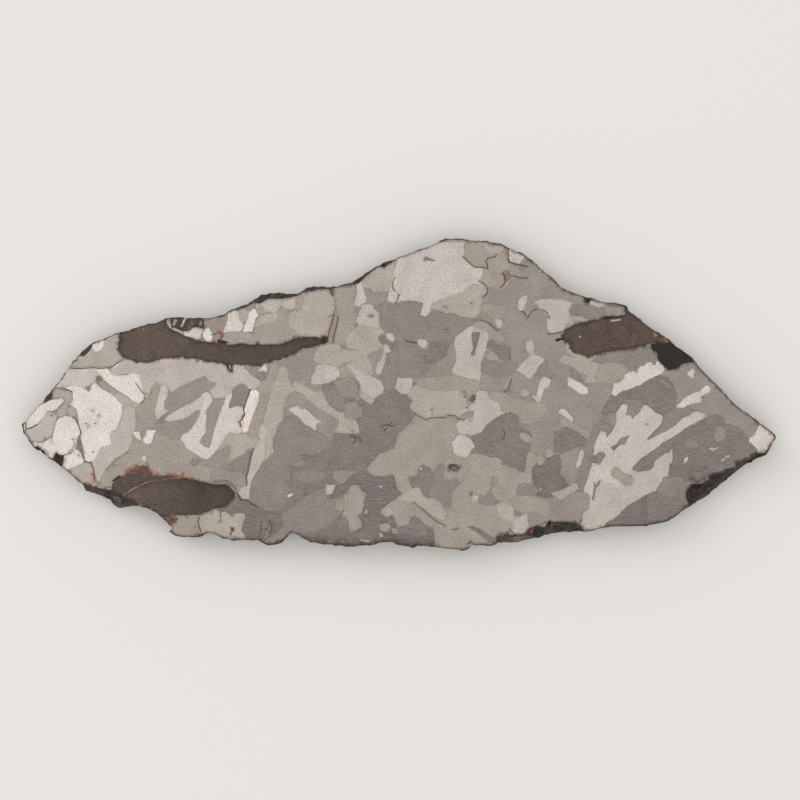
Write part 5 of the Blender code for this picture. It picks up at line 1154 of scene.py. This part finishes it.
def painted_face(centres, borders):
    """Colour with the direction of the etch lines, kind and tone number of each triangle of the face."""
    chance = np.random.default_rng(TURN_SEED)
    names = list(TONES)
    colour = np.array([[*linear(TONES[GROUND_TONE]), PLAIN_TURN]] * len(centres))
    kind = np.full(len(centres), METAL)
    crystal = np.full(len(centres), names.index(GROUND_TONE))
    for tone, loop in outlines(GRAINS):
        within = inside(centres, loop)
        turn = chance.random() if tone in PLAIN_TONES else FLAT_TURN * (chance.random() - 0.5) % 1.0
        colour[within] = [*linear(TONES[tone]), turn]
        crystal[within] = names.index(tone)
    tones = SULPHIDE_TONES + POCKET_TONES + ((CRUST_TONE, CRUST_TONE),)
    for number, (ends, border) in enumerate(zip(tones, borders)):
        within = inside(centres, border)
        colour[within, :3] = shaded_along(centres[within], border, ends)
        colour[within, 3] = PLAIN_TURN
        kind[within] = SULPHIDE if number < len(SULPHIDE_TONES + POCKET_TONES) else CRUST
    for tone, loop in outlines(PATCHES):
        colour[inside(centres, loop), :3] = linear(TONES[tone])
    return colour, kind, crystal


def painted_back(centres, borders):
    """Colour and kind of each triangle of the back, where the nodules are cut through."""
    colour = np.array([[*linear(BACK_TONE), BACK_TURN]] * len(centres))
    kind = np.full(len(centres), SAWN)
    for ends, border in zip(SULPHIDE_TONES, borders):
        within = inside(centres, border)
        colour[within, :3] = shaded_along(centres[within], border, ends)
        kind[within] = SULPHIDE
    return colour, kind


def rind_tones(centres):
    """Colour of each triangle of the rim, with the parts of the rind that are seen from above."""
    colour = np.array([[*linear(RIND_TONE), PLAIN_TURN]] * len(centres))
    for tone, loop in outlines(RIND_PATCHES):
        within = inside(centres[:, :2], loop) & (centres[:, 2] > RIND_PATCH_LEVEL)
        colour[within, :3] = linear(TONES[tone])
    return colour


def fill(mesh, zone, loop, lines, step, height):
    """Fills the open loop with a sheet at a height. Gives the middles of its triangles."""
    first = 1 + max(face[zone] for face in mesh.faces)
    places, triangles, origin = sheet(loop, lines, step)
    heights = height(places)
    verts = []
    for i, (x, y) in enumerate(places):
        if 0 <= origin[i] < len(loop):
            verts.append(loop[origin[i]])
        else:
            verts.append(mesh.verts.new((x, y, heights[i])))
    for i, triangle in enumerate(triangles):
        face = mesh.faces.new([verts[n] for n in triangle])
        face[zone] = first + i
    return places[triangles].mean(axis=1)


def border_shares(mesh, zone, crystal):
    """1 at each point of the face where two crystals meet."""
    result = np.zeros(len(mesh.verts))
    for v in mesh.verts:
        met = {crystal[f[zone]] for f in v.link_faces if 0 <= f[zone] < len(crystal)}
        result[v.index] = len(met) > 1
    return result


def smoothed(edge):
    """The closed line with its small notches evened out."""
    for _ in range(MAP_SMOOTHINGS):
        edge = (np.roll(edge, 1, axis=0) + 2 * edge + np.roll(edge, -1, axis=0)) / 4
    return edge


def along_edge(points, edge):
    """How far along the edge of the face each flat point lies, from 0 to 1."""
    steps = np.roll(edge, -1, axis=0) - edge
    lengths = np.linalg.norm(steps, axis=1)
    start = np.concatenate([[0], np.cumsum(lengths)[:-1]])
    tree = tree_of(edge)
    nearest = np.array([tree.find((x, y, 0.0))[1] for x, y in points])
    found = []
    for i in (nearest - 1, nearest):
        share = np.clip(((points - edge[i]) * steps[i]).sum(axis=1) / lengths[i] ** 2, 0, 1)
        away = np.linalg.norm(edge[i] + share[:, None] * steps[i] - points, axis=1)
        found.append((away, start[i] + share * lengths[i]))
    return np.where(found[0][0] < found[1][0], found[0][1], found[1][1]) / lengths.sum()


def map_points(places, zones, rim, face_count):
    """The finish's own map at each triangle's corners: the face, the back and the rim each laid out flat."""
    normals = np.cross(places[:, 1] - places[:, 0], places[:, 2] - places[:, 0])
    slopes = normals[:, 2] / np.maximum(np.linalg.norm(normals, axis=1), NO_LENGTH)
    below = (zones >= face_count) | ((zones < 0) & (slopes < -MAP_FLAT_SLOPE))
    wall = (zones < 0) & (np.abs(slopes) <= MAP_FLAT_SLOPE)
    result = np.empty((len(places), 3, 2))
    result[:, :, 0] = MAP_MIDDLE + places[:, :, 0] * MAP_SCALE
    result[:, :, 1] = np.where(below, MAP_BACK_LEVEL, MAP_FACE_LEVEL)[:, None] + places[:, :, 1] * MAP_SCALE
    along = along_edge(places[wall][:, :, :2].reshape(-1, 2), smoothed(rim)).reshape(-1, 3)
    first = along[:, :1]
    along = along - np.round(along - first)
    strip = np.clip((first * MAP_STRIPS).astype(int), 0, MAP_STRIPS - 1)
    high = places[wall][:, :, 2] / THICKNESS
    result[wall, :, 0] = MAP_LEFT + (along * MAP_STRIPS - strip) * (1 - 2 * MAP_LEFT)
    result[wall, :, 1] = MAP_STRIP_LEVEL + strip * MAP_STRIP_STEP + high * MAP_STRIP_HEIGHT
    return result


def fill_both(mesh, zone, top, bottom, borders):
    """Fills the open face and the open back. Gives the middles of the triangles of each."""
    rings = [(border, True) for border in borders]
    lines = [(loop, True) for _, loop in outlines(GRAINS + PATCHES)] + rings + crack_lines()
    face_centres = fill(mesh, zone, top, lines, FILL_STEP, lambda points: face_height(points, borders))
    cut_through = rings[:len(SULPHIDE_TONES)]
    back_centres = fill(mesh, zone, bottom, cut_through, BACK_STEP, lambda points: np.zeros(len(points)))
    return face_centres, back_centres


def point_marks(where, rim, borders):
    """Crack, rust, and the nodules' dark edges with painted shade along the face's edge, at each point, each
    from 0 to 1.
    """
    flat = where[:, :2]
    high = where[:, 2] > MARK_LEVEL
    edge = near_rings(flat, borders, EDGE_REACH)
    # painted shade along the face's edge, and along the lower edge, joins the nodules' dark edges
    edge = np.maximum(edge, PAINTED_RIM_SHADE_SHARE * near_rings(flat, [rim], PAINTED_RIM_SHADE_REACH))
    edge = np.maximum(edge, PAINTED_LOWER_EDGE_SHADE_SHARE * near_lines(flat, PAINTED_LOWER_EDGE_SHADES, LINE_STEP))
    start, full = RUST_LEVELS
    rust = rust_shares(flat) * np.clip((where[:, 2] - start) / (full - start), 0, 1)
    return near_lines(flat, openings(), FINE_STEP) * high, rust, edge * high


def build(part, box):
    """The whole piece as one closed mesh with its colours, masks and map."""
    mesh = open_plate(part)
    top = max(loops_of(mesh, THICKNESS), key=len)
    bottom = max(loops_of(mesh, 0.0), key=len)
    roughen(mesh, box)
    zone = mesh.faces.layers.int.new("zone")
    for face in mesh.faces:
        face[zone] = -1
    borders = nodule_borders()
    rim = np.array([tuple(v.co.xy) for v in top])
    for v, height in zip(top, face_height(rim, borders)):
        v.co.z = height
    face_centres, back_centres = fill_both(mesh, zone, top, bottom, borders)
    bmesh.ops.recalc_face_normals(mesh, faces=mesh.faces)
    mesh.verts.index_update()
    colour, kind, crystal = painted_face(face_centres, borders)
    back_colour, back_kind = painted_back(back_centres, borders)
    meets = border_shares(mesh, zone, crystal)
    where = np.array([tuple(v.co) for v in mesh.verts])
    zones = np.array([f[zone] for f in mesh.faces])
    places = where[np.array([[v.index for v in f.verts] for f in mesh.faces])]
    bmesh.ops.scale(mesh, vec=(MM,) * 3, verts=mesh.verts)
    data = bpy.data.meshes.new("etched_slice")
    mesh.to_mesh(data)
    mesh.free()
    rind_colour = rind_tones(places.mean(axis=1)[zones < 0])
    colours = np.concatenate([colour, back_colour, [colour[0]]])[zones]
    colours[zones < 0] = rind_colour
    kinds = np.concatenate([kind, back_kind, [RIND]])[zones]
    crack, rust, edge = point_marks(where, rim, borders)
    store(data, "tone", "CORNER", np.repeat(colours, 3, axis=0))
    store(data, "kind", "CORNER", np.repeat(np.stack([kinds == k for k in MASKED_KINDS], axis=1), 3, axis=0))
    store(data, "marks", "POINT", np.stack([crack, rust, meets, edge], axis=1))
    layer = data.uv_layers.new(name="OFBake")
    layer.data.foreach_set("uv", map_points(places, zones, rim, len(face_centres)).ravel())
    data.polygons.foreach_set("use_smooth", [True] * len(data.polygons))
    data.set_sharp_from_angle(angle=math.radians(SHARP_ANGLE))
    return data


def store(data, name, domain, values):
    """Keeps four values for each point or corner as a colour attribute."""
    layer = data.color_attributes.new(name, "FLOAT_COLOR", domain)
    layer.data.foreach_set("color", values.astype(float).ravel())


def node(tree, kind, **settings):
    """A new shader node with its settings."""
    made = tree.nodes.new(kind)
    for name, value in settings.items():
        setattr(made, name, value)
    return made


def new_group(name, inputs, outputs):
    """An empty node group with its named inputs and outputs."""
    tree = bpy.data.node_groups.new(name, "ShaderNodeTree")
    for title, kind in inputs:
        tree.interface.new_socket(name=title, in_out="INPUT", socket_type=kind)
    for title, kind in outputs:
        tree.interface.new_socket(name=title, in_out="OUTPUT", socket_type=kind)
    return tree, node(tree, "NodeGroupInput"), node(tree, "NodeGroupOutput")


def maths(tree, operation, *values, clamp=False):
    """A maths node fed with sockets or plain numbers. Gives its output."""
    made = node(tree, "ShaderNodeMath", operation=operation, use_clamp=clamp)
    for socket, value in zip(made.inputs, values):
        if isinstance(value, bpy.types.NodeSocket):
            tree.links.new(value, socket)
        else:
            socket.default_value = value
    return made.outputs[0]


def noise_at(tree, place, fineness):
    """Smooth noise from 0 to 1 at a place, of a scale and detail. Gives its output."""
    made = node(tree, "ShaderNodeTexNoise")
    made.inputs["Scale"].default_value, made.inputs["Detail"].default_value = fineness
    tree.links.new(place, made.inputs["Vector"])
    return made.outputs["Fac"]


def stretched(tree, place, amounts):
    """The place stretched by an amount along each axis. Gives the output."""
    made = node(tree, "ShaderNodeVectorMath", operation="MULTIPLY")
    made.inputs[1].default_value = amounts
    tree.links.new(place, made.inputs[0])
    return made.outputs["Vector"]


def etch_group():
    """Fine etch lines in one direction, the cloudy look of the metal and its grain, all from 0 to 1."""
    tree, start, end = new_group(
        "etch_lines", (("Place", "NodeSocketVector"), ("Turn", "NodeSocketFloat")),
        (("Lines", "NodeSocketFloat"), ("Clouds", "NodeSocketFloat"), ("Grain", "NodeSocketFloat")))
    link = tree.links.new
    place = start.outputs["Place"]
    turned = node(tree, "ShaderNodeVectorRotate", rotation_type="Z_AXIS")
    link(place, turned.inputs["Vector"])
    link(maths(tree, "MULTIPLY", start.outputs["Turn"], math.pi), turned.inputs["Angle"])
    bent = stretched(tree, turned.outputs["Vector"], ETCH_STRETCH)
    link(noise_at(tree, bent, ETCH_NOISE), end.inputs["Lines"])
    link(noise_at(tree, place, CLOUD_NOISE), end.inputs["Clouds"])
    link(noise_at(tree, place, GRAIN_NOISE), end.inputs["Grain"])
    return tree


def rust_group():
    """Turns the share of rust into broken patches with a brighter heart."""
    tree, start, end = new_group(
        "rust_patches", (("Place", "NodeSocketVector"), ("Share", "NodeSocketFloat")),
        (("Amount", "NodeSocketFloat"), ("Heart", "NodeSocketFloat")))
    place, share = start.outputs["Place"], start.outputs["Share"]
    rough = maths(tree, "MULTIPLY_ADD", noise_at(tree, place, RUST_NOISE), *RUST_RAMP)
    seen = maths(tree, "MULTIPLY", maths(tree, "ADD", share, rough),
                 maths(tree, "MULTIPLY", share, RUST_FADE, clamp=True))
    heart = maths(tree, "MULTIPLY_ADD", noise_at(tree, place, HEART_NOISE), *HEART_RAMP, clamp=True)
    tree.links.new(maths(tree, "MULTIPLY", seen, RUST_GAIN, clamp=True), end.inputs["Amount"])
    tree.links.new(heart, end.inputs["Heart"])
    return tree


def group_node(tree, group, place):
    """The group in the material, fed with the place."""
    made = node(tree, "ShaderNodeGroup", node_tree=group)
    tree.links.new(place, made.inputs["Place"])
    return made


def mixed(tree, share, first, second):
    """Two colours mixed by the share. Gives the output."""
    made = node(tree, "ShaderNodeMix", data_type="RGBA", clamp_factor=True)
    for name, value in (("Factor", share), ("A", first), ("B", second)):
        if isinstance(value, bpy.types.NodeSocket):
            tree.links.new(value, made.inputs[name])
        else:
            made.inputs[name].default_value = (*linear(value), 1)
    return made.outputs["Result"]


def sawn_back(tree, place):
    """How far the back's crystals and saw lines change its tone. Gives the output."""
    cells = node(tree, "ShaderNodeTexVoronoi")
    cells.inputs["Scale"].default_value = BACK_CELL_SCALE
    tree.links.new(place, cells.inputs["Vector"])
    cell = node(tree, "ShaderNodeSeparateColor")
    tree.links.new(cells.outputs["Color"], cell.inputs["Color"])
    saw = noise_at(tree, stretched(tree, place, SAW_STRETCH), SAW_NOISE)
    return maths(tree, "ADD", maths(tree, "MULTIPLY_ADD", saw, *SAW_RAMP),
                 maths(tree, "MULTIPLY_ADD", cell.outputs["Red"], *BACK_CELL_RAMP))


def place_in_mm(tree):
    """The place on the piece in millimetres. Gives the output."""
    coordinates = node(tree, "ShaderNodeTexCoord")
    in_mm = node(tree, "ShaderNodeVectorMath", operation="SCALE")
    in_mm.inputs["Scale"].default_value = 1 / MM
    tree.links.new(coordinates.outputs["Object"], in_mm.inputs[0])
    return in_mm.outputs["Vector"]


def masks_of(tree):
    """The mesh's masks by name, each from 0 to 1."""
    masks = {}
    for attribute, names in (("kind", KIND_NAMES), ("marks", MARK_NAMES)):
        read = node(tree, "ShaderNodeAttribute", attribute_name=attribute)
        parts = node(tree, "ShaderNodeSeparateColor")
        tree.links.new(read.outputs["Color"], parts.inputs["Color"])
        outputs = [parts.outputs[name] for name in ("Red", "Green", "Blue")] + [read.outputs["Alpha"]]
        masks.update(zip(names, outputs))
    return masks


def swing(tree, value, amount):
    """How far the value lies above its middle, times the amount. Gives the output."""
    return maths(tree, "MULTIPLY", maths(tree, "SUBTRACT", value, 0.5), amount)


def tone_level(tree, place, tone, etch, masks, coarse):
    """How light each place is against its own tone, which is at 1. Gives the output."""
    darkness = maths(tree, "MULTIPLY_ADD", tone.outputs["Fac"], *DARK_RAMP, clamp=True)
    metal_streaks = maths(tree, "MULTIPLY_ADD", darkness, DARK_STREAK_STRENGTH, STREAK_STRENGTH)
    streaks = swing(tree, etch.outputs["Lines"],
                    maths(tree, "MULTIPLY_ADD", masks["sulphide"], SULPHIDE_STREAKS, metal_streaks))
    cloudy = swing(tree, etch.outputs["Clouds"],
                   maths(tree, "MULTIPLY_ADD", coarse, COARSE_CLOUDS, CLOUD_STRENGTH))
    grainy = swing(tree, etch.outputs["Grain"],
                   maths(tree, "MULTIPLY_ADD", coarse, COARSE_GRAIN, GRAIN_STRENGTH))
    level = maths(tree, "ADD", maths(tree, "ADD", streaks, cloudy), maths(tree, "ADD", grainy, 1.0))
    level = maths(tree, "ADD", level, maths(tree, "MULTIPLY", masks["back"], sawn_back(tree, place)))
    seam = maths(tree, "MULTIPLY", maths(tree, "POWER", masks["meets"], SEAM_POWER),
                 maths(tree, "MULTIPLY", etch.outputs["Clouds"], SEAM_STRENGTH))
    return maths(tree, "ADD", level, seam)


def marked(tree, place, colour, masks, patches):
    """The colour with chips of the rind, dark nodule edges and painted shade at the face's edge, cracks and
    rust over it. Gives the output.
    """
    chips = maths(tree, "MULTIPLY", masks["rind"],
                  maths(tree, "MULTIPLY_ADD", noise_at(tree, place, CHIP_NOISE), *CHIP_RAMP, clamp=True))
    colour = mixed(tree, chips, colour, RIND_CHIP_TONE)
    # dark nodule edges together with painted shade along the face's edge
    edge = maths(tree, "MULTIPLY", maths(tree, "POWER", masks["edge"], EDGE_POWER),
                 maths(tree, "MULTIPLY_ADD", noise_at(tree, place, EDGE_NOISE), *EDGE_RAMP, clamp=True))
    colour = mixed(tree, edge, colour, EDGE_AND_SHADE_TONE)
    colour = mixed(tree, maths(tree, "POWER", masks["crack"], CRACK_POWER), colour, CRACK_TONE)
    rust = mixed(tree, patches.outputs["Heart"], RUST_DARK_TONE, RUST_BRIGHT_TONE)
    return mixed(tree, patches.outputs["Amount"], colour, rust)


def etched_iron_material():
    """Matt etched iron with sulphide, crust, rind, rust and cracks told apart by the mesh's masks."""
    material = bpy.data.materials.new("etched_iron")
    material.use_nodes = True
    tree = material.node_tree
    shader = tree.nodes["Principled BSDF"]
    link = tree.links.new
    place = place_in_mm(tree)
    masks = masks_of(tree)
    tone = node(tree, "ShaderNodeAttribute", attribute_name="tone")
    etch = group_node(tree, etch_group(), place)
    link(tone.outputs["Alpha"], etch.inputs["Turn"])
    patches = group_node(tree, rust_group(), place)
    link(masks["rust"], patches.inputs["Share"])

    stone = maths(tree, "ADD", masks["sulphide"], masks["crust"])
    coarse = maths(tree, "ADD", maths(tree, "MULTIPLY", masks["rind"], RIND_COARSENESS), stone)
    shaded = node(tree, "ShaderNodeVectorMath", operation="SCALE")
    link(tone.outputs["Color"], shaded.inputs[0])
    link(tone_level(tree, place, tone, etch, masks, coarse), shaded.inputs["Scale"])
    link(marked(tree, place, shaded.outputs["Vector"], masks, patches), shader.inputs["Base Color"])

    dull = maths(tree, "ADD", maths(tree, "MAXIMUM", masks["rind"], patches.outputs["Amount"]),
                 maths(tree, "MULTIPLY", stone, STONE_DULLNESS), clamp=True)
    link(maths(tree, "MULTIPLY_ADD", dull, DULL_METALLIC, METALLIC), shader.inputs["Metallic"])
    rough = maths(tree, "MULTIPLY_ADD", dull, DULL_ROUGHNESS, ROUGHNESS)
    rough = maths(tree, "ADD", rough, swing(tree, etch.outputs["Lines"], LINE_ROUGHNESS))
    link(rough, shader.inputs["Roughness"])
    bump = node(tree, "ShaderNodeBump")
    bump.inputs["Strength"].default_value = 1.0
    bump.inputs["Distance"].default_value = MM
    relief = maths(tree, "ADD", etch.outputs["Grain"], etch.outputs["Lines"])
    link(maths(tree, "MULTIPLY", relief, maths(tree, "MULTIPLY_ADD", coarse, COARSE_BUMP, METAL_BUMP)),
         bump.inputs["Height"])
    link(bump.outputs["Normal"], shader.inputs["Normal"])
    return material


def plain_material(name, tone, roughness):
    """A plain surface of one colour."""
    material = bpy.data.materials.new(name)
    material.use_nodes = True
    shader = material.node_tree.nodes["Principled BSDF"]
    shader.inputs["Base Color"].default_value = (*linear(tone), 1)
    shader.inputs["Roughness"].default_value = roughness
    return material


def area_light(name, place, size, power):
    """A soft square light that shines at the piece."""
    data = bpy.data.lights.new(name, "AREA")
    data.shape = "SQUARE"
    data.size = size
    data.energy = power
    light = bpy.data.objects.new(name, data)
    light.location = place
    light.rotation_euler = (Vector((0, 0, 0)) - Vector(place)).to_track_quat("-Z", "Y").to_euler()
    bpy.context.scene.collection.objects.link(light)


def straight_down_camera(scene):
    """The camera, which looks straight down at the middle of the picture."""
    data = bpy.data.cameras.new("camera")
    data.lens = CAMERA_LENS
    data.sensor_width = CAMERA_SENSOR
    camera = bpy.data.objects.new("camera", data)
    away = PICTURE_WIDTH * MM * CAMERA_LENS / CAMERA_SENSOR
    camera.location = (PICTURE_CENTRE[0] * MM, PICTURE_CENTRE[1] * MM, THICKNESS * MM + away)
    scene.collection.objects.link(camera)
    scene.camera = camera


def studio():
    """Pale floor, soft lights and the camera."""
    bpy.ops.mesh.primitive_plane_add(size=FLOOR_SIZE)
    floor = bpy.context.object
    floor.name = "floor"
    floor.data.materials.append(plain_material("floor", FLOOR_TONE, FLOOR_ROUGHNESS))
    area_light("overhead", OVERHEAD_PLACE, OVERHEAD_SIZE, OVERHEAD_POWER)
    area_light("side", SIDE_PLACE, SIDE_SIZE, SIDE_POWER)
    scene = bpy.context.scene
    scene.view_settings.view_transform = "Standard"
    world = scene.world or bpy.data.worlds.new("studio")
    scene.world = world
    world.use_nodes = True
    background = world.node_tree.nodes["Background"]
    background.inputs["Color"].default_value = WORLD_COLOUR
    background.inputs["Strength"].default_value = WORLD_STRENGTH
    straight_down_camera(scene)


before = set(bpy.data.objects)
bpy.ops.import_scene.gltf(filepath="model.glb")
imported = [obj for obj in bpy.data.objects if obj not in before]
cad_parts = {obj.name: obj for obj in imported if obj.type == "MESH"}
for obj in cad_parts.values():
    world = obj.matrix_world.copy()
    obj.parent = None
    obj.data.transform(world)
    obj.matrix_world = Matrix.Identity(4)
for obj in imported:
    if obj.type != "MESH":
        bpy.data.objects.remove(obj)
cad_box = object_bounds()
piece = bpy.data.objects.new("etched_slice", build(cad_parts["slice"], cad_box))
piece.data.materials.append(etched_iron_material())
bpy.context.scene.collection.objects.link(piece)
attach(piece, "root")
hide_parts("slice")
studio()
